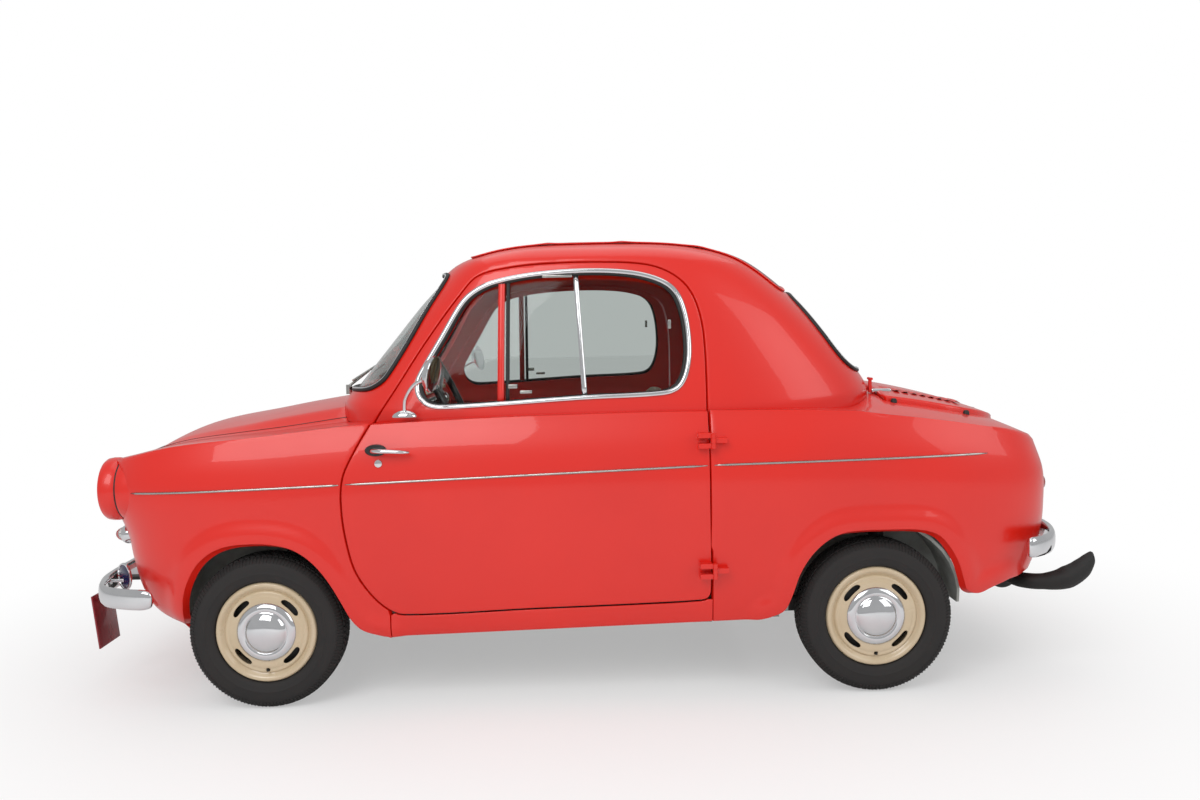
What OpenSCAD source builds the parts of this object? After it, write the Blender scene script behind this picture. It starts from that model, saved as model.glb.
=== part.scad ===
// Two-seat microcar with a rear engine, rear-hinged doors and a roll-back fabric roof.
// +Z is up, the nose points along -X, the left side is -Y, and the origin is on the
// ground under the middle of the car's bounding box.

/* [Chassis] */
// Distance between the front and rear axles
wheelbase = 1693; // [1680:1:1700]
// Distance from the origin to the front axle
front_axle = 885; // [880:1:890]
// Distance between the middles of the left and right tyres
track = 1096; // [1090:1:1100]
// Radius of the tyre
tyre_r = 215; // [213:1:217]
// Width of the tyre
tyre_w = 116; // [110:1:118]
// Radius of the rim's flange
rim_r = 140; // [136:1:142]

/* [Body] */
// Thickness of the door from skin to trim card
door_t = 42; // [36:1:45]
// Thickness of the wings, nose and tail with their folded edges
skin_t = 16; // [14:1:20]
// Thickness of the pillars and cant rails
pillar_t = 30; // [26:1:32]
// Gap round the doors
shut_gap = 5; // [5:0.5:6]
// Thickness of the window glass
glass_t = 5; // [4:0.5:6]

/* [Wheels] */
// Number of cooling slots in a wheel disc
slot_count = 4; // [3:1:5]
// Diameter of the polished hub cap
cap_d = 142; // [130:1:145]

/* [Hidden] */
$fn = 48;
COARSE = 24;                        // sides of round shapes on the faceted shells

RED = "#d8342a";
GREY = "#6f716f";
DARK = "#2a2a2c";
CHROME = "#c9ccd0";
CREAM = "#dccdb0";
CANVAS = "#6a2022";
GLASS = "#9fb4b8";

rear_axle = wheelbase - front_axle;
sill_z = 180;                      // level at which the body's side surface ends
half_track = track / 2;

// ---------------------------------------------------------------- smooth curves

// Index of the stretch of a curve's points that holds x.
function stretch(pts, x, i = 0) =
    (i >= len(pts) - 2 || x < pts[i + 1][0]) ? i : stretch(pts, x, i + 1);

// Slope of a curve at one of its points, from its neighbours.
function slope(pts, i) =
    let (a = pts[max(i - 1, 0)], b = pts[min(i + 1, len(pts) - 1)])
    (b[1] - a[1]) / (b[0] - a[0]);

// Height of the smooth curve through the points at x.
function at(pts, x) =
    let (
        u = max(pts[0][0], min(x, pts[len(pts) - 1][0])),
        i = stretch(pts, u),
        a = pts[i],
        b = pts[i + 1],
        w = b[0] - a[0],
        t = (u - a[0]) / w,
        m = slope(pts, i) * w,
        n = slope(pts, i + 1) * w)
    (2 * t * t * t - 3 * t * t + 1) * a[1] + (t * t * t - 2 * t * t + t) * m
    + (3 * t * t - 2 * t * t * t) * b[1] + (t * t * t - t * t) * n;

function mix(a, b, t) = a + (b - a) * t;
function ease(t) = let (u = max(0, min(1, t))) u * u * (3 - 2 * u);

// Smooth closed or open outline through hand-placed points, n steps to a stretch.
function way(p, i, closed) =
    let (
        c = len(p),
        a = p[closed ? (i + c - 1) % c : max(i - 1, 0)],
        d = p[closed ? (i + 1) % c : min(i + 1, c - 1)])
    (d - a) / norm(d - a);
function round_off(p, closed = true, n = 4) =
    let (c = len(p))
    [for (i = [0 : closed ? c - 1 : c - 2], j = [0 : n - 1])
        let (
            b = p[i % c],
            d = p[(i + 1) % c],
            l = norm(d - b),
            t = j / n)
        (2 * t * t * t - 3 * t * t + 1) * b + (3 * t * t - 2 * t * t * t) * d
        + l * (t * t * t - 2 * t * t + t) * way(p, i % c, closed)
        + l * (t * t * t - t * t) * way(p, (i + 1) % c, closed)];

// ---------------------------------------------------------------- body surface

// The side below the shoulder, by height from 0 at the sill to 1 at the shoulder.
FLANK = [[0, 586], [0.07, 603], [0.2, 617], [0.4, 628], [0.6, 634], [0.72, 635],
         [0.86, 626], [1, 602]];
NOSE = [[0, -1190], [0.06, -1217], [0.1, -1255], [0.15, -1283], [0.21, -1300],
        [0.3, -1314], [0.45, -1326], [0.55, -1331], [0.65, -1345], [0.75, -1368],
        [0.85, -1382], [0.95, -1380], [1, -1370]];
TAIL = [[0, 1262], [0.1, 1305], [0.25, 1345], [0.5, 1371], [0.67, 1374],
        [0.85, 1370], [1, 1345]];
// The shoulder line from nose to tail.
SHOULDER = [[-1380, 664], [-1340, 684], [-1293, 696], [-1118, 733], [-862, 757],
            [-620, 781], [-300, 794], [0, 799], [300, 800], [743, 788],
            [900, 772], [1082, 745], [1211, 718], [1330, 676], [1380, 650]];
// The middle of the bonnet, which rises in a step behind the nose.
BONNET = [[-1390, 662], [-1340, 686], [-1284, 703], [-1259, 720], [-1195, 751],
          [-1132, 768], [-1000, 790], [-880, 811], [-700, 838], [-620, 850]];
// The middle of the deck round the engine lid.
REAR_DECK = [[820, 842], [980, 816], [1107, 786], [1225, 748], [1300, 712], [1380, 655]];

// Superellipse in plan, with its own squareness at each end.
function plan(t, ring) =
    let (
        c = cos(t),
        s = sin(t),
        n = c < 0 ? ring[3] : ring[4],
        a = c < 0 ? -ring[0] : ring[1],
        r = pow(pow(abs(c), n) + pow(abs(s), n), -1 / n))
    [a * r * c, ring[2] * r * s];

// Height of the upper surface between the shoulder and the glass.
function bonnet_z(x, w) =
    let (
        crest = at(SHOULDER, x),
        dome = at(BONNET, x) - 26 * pow(w / 390, 2))
    mix(dome, crest + 2, ease((w - 345) / 85));
function tail_z(x, w) =
    let (crest = at(SHOULDER, x))
    crest + (at(REAR_DECK, x) - crest) * max(0, 1 - pow(w / 560, 2));
function deck_z(x, y) =
    let (w = abs(y), crest = at(SHOULDER, x) + 3)
    x < 0 ? mix(bonnet_z(x, w), crest, ease((x + 700) / 120))
          : mix(crest, tail_z(x, w), ease((x - 740) / 120));

SHOULDER_RING = [-1370, 1345, 602, 7, 6];
BELT_RING = [-712, 878, 580, 4.6, 4];

// Rings of the roof and glass: front x and z, half width and side z, rear x and z.
CABIN = [
    [-712, 836, 580, 800, 878, 846],
    [-655, 905, 568, 885, 838, 905],
    [-568, 1010, 550, 990, 752, 1010],
    [-480, 1115, 530, 1100, 655, 1110],
    [-396, 1205, 503, 1205, 560, 1190],
    [-338, 1240, 482, 1243, 485, 1234],
    [-255, 1263, 432, 1268, 395, 1262],
    [-150, 1279, 330, 1283, 280, 1280],
    [-20, 1288, 170, 1290, 160, 1289]];
ROOF_TOP = [60, 1292];

function lower_ring(k, t, inset) =
    let (
        p = plan(t, [at(NOSE, k) + inset, at(TAIL, k) - inset,
                     at(FLANK, k) - inset, mix(5.5, 7, k), mix(5, 6, k)]))
    [p[0], p[1], sill_z + (at(SHOULDER, p[0]) - inset - sill_z) * k];

function deck_ring(m, t, inset) =
    let (
        ring = [for (i = [0 : 4]) mix(SHOULDER_RING[i], BELT_RING[i], m)],
        p = plan(t, [ring[0] + inset, ring[1] - inset, ring[2] - inset, ring[3], ring[4]]))
    [p[0], p[1], deck_z(p[0], p[1]) - inset];

function cabin_ring(g, t, inset) =
    let (
        i = min(floor(g), len(CABIN) - 2),
        f = g - i,
        row = [for (j = [0 : 5]) mix(CABIN[i][j], CABIN[i + 1][j], f)],
        p = plan(t, [row[0] + inset, row[4] - inset, row[2] - inset, 4.6, 4]),
        u = abs(p[0]) / (p[0] < 0 ? inset - row[0] : row[4]))
    [p[0], p[1], mix(row[3], p[0] < 0 ? row[1] : row[5], pow(min(u, 1), 2.2))
                 - (g > 3 ? inset : 0)];

LOWER_STEPS = [0, 0.05, 0.1, 0.16, 0.25, 0.4, 0.55, 0.65, 0.75, 0.86, 0.94, 1];
DECK_STEPS = [0.06, 0.14, 0.22, 0.3, 0.45, 0.7, 1];
CABIN_STEPS = [1, 2, 3, 3.5, 4, 4.5, 5, 6, 7, 8];
// Directions round a ring: close together at the corners of the plan.
function all_round(quarter) = concat(
    quarter,
    [for (i = [len(quarter) - 2 : -1 : 0]) 180 - quarter[i]],
    [for (i = [1 : len(quarter) - 1]) 180 + quarter[i]],
    [for (i = [len(quarter) - 2 : -1 : 1]) 360 - quarter[i]]);
AROUND = all_round([0, 13, 24, 32, 37, 41, 44, 46.5, 49, 52, 57, 64, 72, 81, 90]);
AROUND_CABIN = all_round([0, 12, 23, 31, 37, 41.5, 45.5, 50, 56, 64, 73, 81, 90]);

// Closed mesh from stacked rings of points, with a flat fan at each end.
module loft(rings, bottom, top) {
    n = len(rings[0]);
    m = len(rings);
    polyhedron(
        points = concat([for (r = rings) each r], [bottom, top]),
        faces = concat(
            [for (i = [0 : m - 2], j = [0 : n - 1])
                [i * n + j, (i + 1) * n + j, i * n + (j + 1) % n]],
            [for (i = [0 : m - 2], j = [0 : n - 1])
                [(i + 1) * n + j, (i + 1) * n + (j + 1) % n, i * n + (j + 1) % n]],
            [for (j = [0 : n - 1]) [m * n, j, (j + 1) % n]],
            [for (j = [0 : n - 1]) [m * n + 1, (m - 1) * n + (j + 1) % n, (m - 1) * n + j]]));
}

// Closed mesh from rings that follow one another along a path.
module loft_along(rings, first, last) {
    n = len(rings[0]);
    m = len(rings);
    polyhedron(
        points = concat([for (r = rings) each r], [first, last]),
        faces = concat(
            [for (i = [0 : m - 2], j = [0 : n - 1])
                [i * n + j, i * n + (j + 1) % n, (i + 1) * n + j]],
            [for (i = [0 : m - 2], j = [0 : n - 1])
                [i * n + (j + 1) % n, (i + 1) * n + (j + 1) % n, (i + 1) * n + j]],
            [for (j = [0 : n - 1]) [m * n, (j + 1) % n, j]],
            [for (j = [0 : n - 1]) [m * n + 1, (m - 1) * n + j, (m - 1) * n + (j + 1) % n]]));
}

// Bent round bar through a path's points, which must not run straight up.
function unit(v) = v / norm(v);
module tube(path, r, sides = 12) {
    n = len(path);
    rings = [for (i = [0 : n - 1])
        let (
            d = unit(path[min(i + 1, n - 1)] - path[max(i - 1, 0)]),
            u = unit(cross(d, [0, 0, 1])),
            v = cross(u, d))
        [for (j = [0 : sides - 1]) let (t = j * 360 / sides)
            path[i] + r * cos(t) * u + r * sin(t) * v]];
    loft_along(rings, path[0], path[n - 1]);
}

// The lower body as one closed form, with every face moved in by inset.
module lower_form(inset = 0) {
    rings = concat(
        [for (k = LOWER_STEPS) [for (t = AROUND) lower_ring(k, t, inset)]],
        [for (m = DECK_STEPS) [for (t = AROUND) deck_ring(m, t, inset)]]);
    loft(rings, [0, 0, sill_z], [0, 0, 800 - inset]);
}

// The glasshouse and roof, carried down to the floor of the cabin.
module cabin_form(inset = 0, down = 30) {
    base = [for (t = AROUND_CABIN)
        let (p = cabin_ring(0, t, inset)) [p[0], p[1], p[2] - down]];
    rings = concat(
        [base],
        [for (g = CABIN_STEPS) [for (t = AROUND_CABIN) cabin_ring(g, t, inset)]]);
    loft(rings, [0, 0, 800 - down], [ROOF_TOP[0], 0, ROOF_TOP[1] - inset]);
}

// ---------------------------------------------------------------- outlines seen from the side

DOOR_EDGE = round_off([
    [-572, 790], [-620, 708], [-650, 640], [-655, 556], [-646, 469], [-626, 387],
    [-588, 322], [-543, 277], [-500, 260], [-144, 268], [120, 273], [312, 279],
    [337, 285], [345, 306], [345, 550], [345, 800], [343, 996], [329, 1084], [300, 1145],
    [247, 1187], [180, 1208], [60, 1216], [-80, 1215], [-190, 1206], [-282, 1184],
    [-330, 1135], [-426, 1008], [-510, 882]]);
WINDOW_EDGE = round_off([
    [-455, 890], [-446, 851], [-418, 829], [-370, 825], [3, 843], [233, 851],
    [273, 868], [297, 924], [302, 998], [290, 1085], [264, 1139], [211, 1170],
    [131, 1188], [11, 1194], [-122, 1187], [-230, 1169], [-283, 1148],
    [-324, 1115], [-380, 1024], [-440, 924]]);
FRONT_ARCH = concat(
    [[-1260, 100], [-1260, 190], [-1168, 212], [-1135, 222], [-1125, 245]],
    round_off([[-1123, 268], [-1114, 315], [-1094, 363], [-1063, 410], [-1020, 445],
               [-972, 463], [-907, 469], [-843, 465], [-790, 449], [-745, 416],
               [-705, 365], [-672, 304], [-645, 248], [-616, 216], [-560, 196]], false, 3),
    [[-540, 193], [-540, 100]]);
REAR_ARCH = concat(
    [[480, 100], [480, 217]],
    round_off([[505, 222], [547, 241], [569, 284], [591, 348], [627, 405], [678, 447],
               [730, 463], [835, 465], [930, 460], [978, 442], [1014, 402], [1039, 358],
               [1055, 314], [1070, 278], [1107, 264], [1150, 278], [1210, 296]], false, 3),
    [[1400, 312], [1400, 100]]);

// A side outline carried through the car from y0 to y1.
module side_prism(pts, y0, y1) {
    translate([0, y1, 0]) rotate([90, 0, 0]) linear_extrude(y1 - y0) polygon(pts);
}
// The door's outline as a wedge that gets smaller inwards, so that the door's
// leading edge swings clear of the pillar.
DOOR_MIDDLE = [-150, 740];
WEDGE_Y = 660;
WEDGE_DEPTH = 360;
WEDGE_TAPER = 0.87;
module door_wedge(grow) {
    translate([DOOR_MIDDLE[0], -WEDGE_Y, DOOR_MIDDLE[1]]) rotate([-90, 0, 0]) mirror([0, 1, 0])
        linear_extrude(WEDGE_DEPTH, scale = WEDGE_TAPER) offset(delta = grow)
            translate(-DOOR_MIDDLE) scale(1.01) polygon(DOOR_EDGE);
}
module side_prism_grown(pts, grow, y0, y1) {
    translate([0, y1, 0]) rotate([90, 0, 0]) linear_extrude(y1 - y0)
        offset(delta = grow) polygon(pts);
}

// Keeps a folded sheet panel as one mesh: these panels have no bores.
module pressed() {
    resize([0, 0, 0]) children();
}

// Flat rectangle about the origin with true round corners.
module round_box(w, h, r) {
    square([w - 2 * r, h], center = true);
    square([w, h - 2 * r], center = true);
    for (x = [-1, 1], y = [-1, 1]) translate([x * (w / 2 - r), y * (h / 2 - r)]) circle(r);
}

// Round bar from a to b.
module rod(a, b, r) {
    d = b - a;
    len = norm(d);
    translate(a) rotate([0, acos(d[2] / len), atan2(d[1], d[0])]) cylinder(r = r, h = len);
}

module sides() {
    children();
    mirror([0, 1, 0]) children();
}

// ---------------------------------------------------------------- body panels

FRONT_SPLIT = -540;      // where the front wings meet the sills
REAR_SPLIT = 352;        // where the quarter panels start
VALANCE_Z = 322;         // lower edge of the tail between the wheels

// The folded sheet of the lower body, with the wheel arches cut.
module lower_shell() {
    difference() {
        lower_form();
        lower_form(skin_t);
        translate([-2000, -1000, 0]) cube([4000, 2000, sill_z + 2]);
        sides() side_prism(FRONT_ARCH, -900, -440);
        sides() side_prism(REAR_ARCH, -900, -440);
    }
}

GRILLE_W = 560;
GRILLE_LOW = 345;
GRILLE_HIGH = 515;
// A wide opening with round corners.
module grille_outline(grow = 0) {
    translate([0, (GRILLE_LOW + GRILLE_HIGH) / 2]) round_box(GRILLE_W + 2 * grow,
        GRILLE_HIGH - GRILLE_LOW + 2 * grow, 60 + grow);
}

LAMP_R = 73.5;           // outside of a headlamp's rim
LAMP_AT = [-1338, 470, 608];
module lamp_axis(side) {
    translate([LAMP_AT[0], side * LAMP_AT[1], LAMP_AT[2]]) rotate([0, 90, 0]) children();
}

module front_body() {
    color(RED) pressed() difference() {
        union() {
            intersection() {
                lower_shell();
                translate([-1500, -800, 0]) cube([1500 + FRONT_SPLIT, 1600, 900]);
            }
            for (s = [-1, 1]) lamp_axis(s) cylinder(r1 = 84, r2 = 92, h = 150, $fn = COARSE);
        }
        for (s = [-1, 1]) lamp_axis(s) translate([0, 0, -60])
            cylinder(r = LAMP_R + 1.5, h = 230, $fn = COARSE);
        translate([-1300, 0, 0]) rotate([90, 0, -90]) translate([0, 0, -40])
            linear_extrude(200) grille_outline();
        sides() door_wedge(shut_gap);
        translate([-560, -545, 300]) cube([300, 1090, 600]);
        belt_cut();
    }
}

// Clears the deck under the glasshouse.
module belt_cut() {
    cabin_form(pillar_t - 2, 60);
}

module rear_body() {
    color(RED) pressed() difference() {
        intersection() {
            lower_shell();
            translate([REAR_SPLIT, -800, 0]) cube([1200, 1600, 900]);
        }
        translate([0, 0, -6]) lid_solid(6, 200);
        belt_cut();
        sides() door_wedge(shut_gap);
        // the tail ends above the exhaust
        translate([1130, -441, 0]) cube([400, 882, VALANCE_Z]);
    }
}

module lid_plan(grow) {
    // the lid in plan: straight at the hinge, rounded at the tail
    offset(r = 30 + grow) offset(r = -30)
    polygon(concat(
        [[892, -395], [892, 395]],
        [for (a = [90 : -10 : -90]) [1060 + 255 * cos(a), 395 * sin(a)]]));
}

module lid_solid(grow, h) {
    translate([0, 0, 640]) linear_extrude(h) lid_plan(grow);
}

// The lid stands on buffers, and a small arm at each end of its front edge
// reaches forward to the hinge.
LID_RISE = 14;
LID_T = 18;
LID_HINGE = [872, 300, 862];
module engine_lid() {
    color(RED) pressed() {
        intersection() {
            translate([0, 0, LID_RISE]) difference() {
                lower_form();
                lower_form(LID_T);
            }
            lid_solid(-1, 250);
        }
        sides() translate([LID_HINGE[0] + 5, -LID_HINGE[1] - 7, LID_HINGE[2] - 40])
            cube([30, 14, 36]);
    }
}

// ---------------------------------------------------------------- doors

// Left door: the whole thickness of skin and trim, with its window cut.
module door(side) {
    color(RED) pressed() mirror([0, side > 0 ? 1 : 0, 0]) intersection() {
        union() {
            lower_form();
            cabin_form();
        }
        difference() {
            door_wedge(0);
            side_prism(WINDOW_EDGE, -900, -200);
            lower_form(door_t);
            cabin_form(pillar_t, 200);
        }
    }
}

module door_glass(side) {
    color(GLASS, 0.4) pressed() scale([1, -side, 1]) intersection() {
        difference() {
            cabin_form(12);
            cabin_form(12 + glass_t);
        }
        side_prism_grown(WINDOW_EDGE, -1, -900, -300);
    }
}

// Strap hinges on the outside of the door's rear edge.
HINGE_X = 354;
HINGE_Y = 652;
HINGE_Z = [366, 724];
HINGE_H = 42;
HINGE_R = 7;
PIN_R = 4;
LEAF_T = 34;             // depth of a leaf, from the barrel into the panel
module hinge_leaves(side) {
    // the door's half: the two outer thirds of each barrel, with a leaf on the door
    third = HINGE_H / 3;
    color(RED) mirror([0, side > 0 ? 1 : 0, 0])
        for (z = HINGE_Z, dz = [-HINGE_H / 2, third / 2 + 0.5])
            translate([HINGE_X, -HINGE_Y, z + dz]) difference() {
                union() {
                    cylinder(r = HINGE_R, h = third - 0.5);
                    translate([-40, 0, 0]) cube([40, LEAF_T, third - 0.5]);
                }
                translate([0, 0, -1]) cylinder(r = PIN_R + 0.05, h = HINGE_H);
                translate([-HINGE_R, HINGE_R, -1]) cube([2 * HINGE_R, LEAF_T, HINGE_H]);
            }
}
// Pins and leaves on the quarter panels, and the pins that carry the engine lid.
module hinge_pins() {
    color(RED) sides() {
        for (z = HINGE_Z) translate([HINGE_X, -HINGE_Y, z]) {
            cylinder(r = PIN_R, h = HINGE_H, center = true);
            cylinder(r = HINGE_R, h = HINGE_H / 3, center = true);
            translate([2, 4, -HINGE_H / 6]) cube([36, LEAF_T, HINGE_H / 3]);
        }
        translate([LID_HINGE[0], -LID_HINGE[1], LID_HINGE[2]]) {
            rotate([90, 0, 0]) cylinder(r = PIN_R, h = 40, center = true);
            translate([-PIN_R, -6, -42]) cube([2 * PIN_R, 12, 42]);
        }
    }
}

// Mirror on a bent arm, standing on the door below the quarter light.
module door_mirror(side) {
    color(CHROME) pressed() mirror([0, side > 0 ? 1 : 0, 0]) {
        translate([-450, -588, 826]) cylinder(r = 15, h = 16);
        tube([[-450, -590, 836], [-440, -622, 880], [-432, -640, 910], [-414, -650, 924],
              [-400, -656, 926]], 5);
        translate([-405, -660, 925]) rotate([90, 0, 62]) linear_extrude(12) round_box(110, 100, 24);
    }
}

// ---------------------------------------------------------------- cabin

module cabin_frame() {
    color(RED) pressed() difference() {
        cabin_form(0, 40);
        cabin_form(pillar_t, 200);
        sides() door_wedge(shut_gap);
        windscreen_cut(0);
        rear_window_cut(0);
        roof_cut(0);
        lower_form(-0.3);
    }
}

// The opening for the glass, seen from the front.
module windscreen_cut(grow) {
    translate([-900, 0, 0]) rotate([90, 0, 90]) linear_extrude(620)
        offset(r = 40 + grow) offset(r = -40)
        polygon([[-500, 872], [500, 872], [432, 1196], [-432, 1196]]);
}

module rear_window_cut(grow) {
    translate([560, 0, 0]) rotate([90, 0, 90]) linear_extrude(500)
        offset(r = 50 + grow) offset(r = -50)
        polygon([[-400, 892], [400, 892], [330, 1120], [-330, 1120]]);
}

// The canvas spans the roof from the header to above the rear window.
module roof_cut(grow) {
    translate([0, 0, 1120]) linear_extrude(300)
        offset(r = 40 + grow) offset(r = -40)
        polygon([[-300, -400], [600, -360], [600, 360], [-300, 400]]);
}

module fabric_roof() {
    color(CANVAS) pressed() intersection() {
        difference() {
            cabin_form(2);
            cabin_form(20);
        }
        roof_cut(-1);
    }
}

module windscreen() {
    color(GLASS, 0.4) pressed() intersection() {
        difference() {
            cabin_form(10);
            cabin_form(10 + glass_t);
        }
        windscreen_cut(-1);
    }
}

module rear_window() {
    color(GLASS, 0.4) pressed() intersection() {
        difference() {
            cabin_form(10);
            cabin_form(10 + glass_t);
        }
        rear_window_cut(-1);
        translate([604, -500, 0]) cube([600, 1000, 1400]);
    }
}

// ---------------------------------------------------------------- underbody

FLOOR_Z = 208;
FLOOR_T = 6;
FLOOR_FRONT = -600;
FLOOR_REAR = 545;
PAN_HALF_W = 548;
PAN_H = 52;              // height of the upright flanges
SILL_W = 40;
SILL_H = 38;
BULKHEAD_T = 12;
FRONT_BULKHEAD_TOP = 801;
REAR_BULKHEAD_TOP = 671;
JACK_X = -350;
JACK_Z = 228;
JACK_R = 9;
module jack_bores() {
    sides() translate([JACK_X, -600, JACK_Z]) rotate([-90, 0, 0]) cylinder(r = JACK_R, h = 90);
}
module floor_pan() {
    length = FLOOR_REAR - FLOOR_FRONT;
    color(DARK) difference() {
        // flat floor with upright flanges and a raised middle tunnel
        translate([FLOOR_FRONT, -PAN_HALF_W, FLOOR_Z]) cube([length, 2 * PAN_HALF_W, PAN_H]);
        for (y = [-540, 60]) translate([FLOOR_FRONT + 8, y, FLOOR_Z + FLOOR_T])
            cube([length - 16, 480, 60]);
        translate([FLOOR_FRONT - 10, -52, FLOOR_Z - 6]) cube([length + 20, 104, 50]);
        jack_bores();
    }
    color(RED) difference() {
        // outer sills under the doors, between the wings and the quarter panels
        sides() translate([FRONT_SPLIT + 2, -PAN_HALF_W - SILL_W, FLOOR_Z + 2])
            cube([REAR_SPLIT - FRONT_SPLIT - 4, SILL_W, SILL_H]);
        jack_bores();
    }
    color(DARK) {
        // bulkheads in front of the feet and behind the bench
        foot = FLOOR_Z + PAN_H - 1;
        translate([FLOOR_FRONT, -340, foot]) cube([BULKHEAD_T, 680, FRONT_BULKHEAD_TOP - foot]);
        translate([FLOOR_REAR - BULKHEAD_T, -470, foot])
            cube([BULKHEAD_T, 940, REAR_BULKHEAD_TOP - foot]);
    }
}

// Shell over one wheel, open to the outside and below.
HOUSE_WALL = 8;
HOUSE_Y = 584;
module wheelhouse(x, r, depth) {
    translate([x, -HOUSE_Y, tyre_r + 20]) rotate([-90, 0, 0]) difference() {
        cylinder(r = r, h = depth, $fn = 36);
        translate([0, 0, -1]) cylinder(r = r - HOUSE_WALL, h = depth - HOUSE_WALL + 1, $fn = 36);
        translate([-r - 1, 0, -2]) cube([2 * r + 2, r + 1, depth + 4]);
        // slot for the upper arm
        translate([-ARM_W / 2 - 6, -80, depth - HOUSE_WALL - 1]) cube([ARM_W + 12, 90, HOUSE_WALL + 2]);
    }
}
module wheelhouses() {
    color(GREY) pressed() sides() intersection() {
        union() {
            wheelhouse(-front_axle, 276, 234);
            wheelhouse(rear_axle, 252, 180);
        }
        lower_form(skin_t + 1);
    }
}

module engine() {
    color(GREY) translate([rear_axle + 90, -190, 220]) cube([318, 380, 300]);
}

// Silencer under the tail with an upswept pipe, cut at a slant.
module exhaust() {
    bends = [[1273, -300, 262], [1275, -360, 262], [1290, -412, 262], [1330, -446, 265],
             [1378, -458, 274], [1432, -462, 298], [1464, -464, 332]];
    color(DARK) pressed() {
        translate([1273, -330, 262]) rotate([-90, 0, 0]) cylinder(r = 48, h = 560);
        tube(bends, 27);
    }
}

// Blade bumper: a bar bent back at each end, with round tips. Each row is a
// distance out from the middle and a distance back from the front of the bar.
FRONT_BLADE = [[0, 0], [300, 6], [440, 30], [520, 74], [562, 150], [576, 222]];
REAR_BLADE = [[0, 0], [300, 6], [440, 28], [530, 70], [584, 128], [592, 156]];
BLADE_R = [15, 32];      // half thickness and half height of the bar
FRONT_BAR_Z = 310;
REAR_BAR_Z = 398;
module blade_bar(x0, dir, z, blade) {
    last = len(blade) - 1;
    middles = [for (i = [-last : last]) let (p = blade[abs(i)]) [x0 + dir * p[1], sign(i) * p[0], z]];
    n = len(middles);
    rings = [for (i = [0 : n - 1])
        let (
            d = unit(middles[min(i + 1, n - 1)] - middles[max(i - 1, 0)]),
            out = [d[1], -d[0], 0])
        [for (t = [0 : 30 : 330])
            middles[i] + BLADE_R[0] * cos(t) * out + [0, 0, BLADE_R[1] * sin(t)]]];
    tip = unit(middles[n - 1] - middles[n - 2]) * 12;
    loft_along(rings, middles[0] + [tip[0], -tip[1], 0], middles[n - 1] + tip);
}
module front_bumper() {
    color(CHROME) {
        blade_bar(-1424, 1, FRONT_BAR_Z, FRONT_BLADE);
        sides() translate([-1406, -312, FRONT_BAR_Z - 10]) cube([120, 12, 24]);
    }
}
module rear_bumper() {
    color(CHROME) {
        blade_bar(1392, -1, REAR_BAR_Z, REAR_BLADE);
        sides() translate([1346, -312, REAR_BAR_Z - 12]) cube([38, 12, 24]);
    }
}

module headlamps() {
    // a plated rim round a domed lens, set in the end of each tube in the wings
    for (side = [-1, 1]) lamp_axis(side) {
        color(CHROME) rotate_extrude() translate([LAMP_R, 0])
            polygon([[0, -10], [-4, -20], [-12, -22], [-14, -8], [-12, 24], [0, 24]]);
        color(GLASS) intersection() {
            translate([0, 0, 118]) sphere(148);
            translate([0, 0, -36]) cylinder(r = LAMP_R - 12, h = 40);
        }
    }
}

module side_lamps() {
    color(CHROME) pressed() sides() difference() {
        translate([-1276, -430, 470]) rotate([0, -90, 0]) {
            cylinder(r = 26, h = 46, $fn = COARSE);
            translate([0, 0, 46]) cylinder(r1 = 24, r2 = 14, h = 12, $fn = COARSE);
        }
        lower_form(-0.3);
    }
}

module tail_lamps() {
    color("#a01818") pressed() sides() difference() {
        translate([1290, -330, 540]) rotate([0, 90, 0]) {
            cylinder(r = 34, h = 86, $fn = COARSE);
            translate([0, 0, 86]) cylinder(r1 = 32, r2 = 20, h = 12, $fn = COARSE);
        }
        lower_form(-0.3);
    }
}

// Horizontal bars in front of a dark panel, in an opening with round ends.
module grille_panel(x, t, grow) {
    translate([x, 0, 0]) rotate([90, 0, 90]) linear_extrude(t) grille_outline(grow);
}
module grille() {
    color(DARK) grille_panel(-1318, 4, -6);
    color(CHROME) intersection() {
        for (z = [GRILLE_LOW + 20 : 26 : GRILLE_HIGH - 10])
            translate([-1334, -300, z]) cube([18, 600, 9]);
        grille_panel(-1340, 40, -6);
    }
}

PLATE_X = 1408;
PLATE_Z = 385;
PLATE_SIZE = [6, 300, 110];
PLATE_BOLT_Y = 120;
module rear_plate() {
    color(DARK) difference() {
        translate([PLATE_X, -PLATE_SIZE[1] / 2, PLATE_Z - PLATE_SIZE[2] / 2]) cube(PLATE_SIZE);
        for (s = [-1, 1]) translate([PLATE_X - 4, s * PLATE_BOLT_Y, PLATE_Z])
            rotate([0, 90, 0]) cylinder(r = 3.5, h = 14);
    }
}

// Blank plate that hangs under the bumper on a strap, and a round blank badge
// that stands behind the bumper on a short stalk.
module front_plate() {
    color("#8a1420") {
        translate([-1474, -350, 268]) rotate([0, -6, 0]) translate([0, 0, -160]) cube([5, 140, 160]);
        translate([-1470, -296, 246]) cube([78, 24, 6]);
        translate([-1400, -296, 246]) cube([8, 24, 84]);
    }
    color("#1a2350") {
        translate([-1354, -376, 334]) rotate([0, -90, 48]) cylinder(r = 40, h = 8);
        translate([-1388, -384, 318]) cube([28, 10, 8]);
    }
}

module wipers() {
    color(CHROME) for (y = [-270, 130]) {
        translate([-700, y, 850]) cylinder(r = 9, h = 28);
        rod([-700, y, 874], [-664, y + 130, 914], 4);
        rod([-690, y + 15, 890], [-642, y + 230, 936], 3.5);
    }
}

// ---------------------------------------------------------------- seats and controls

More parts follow.
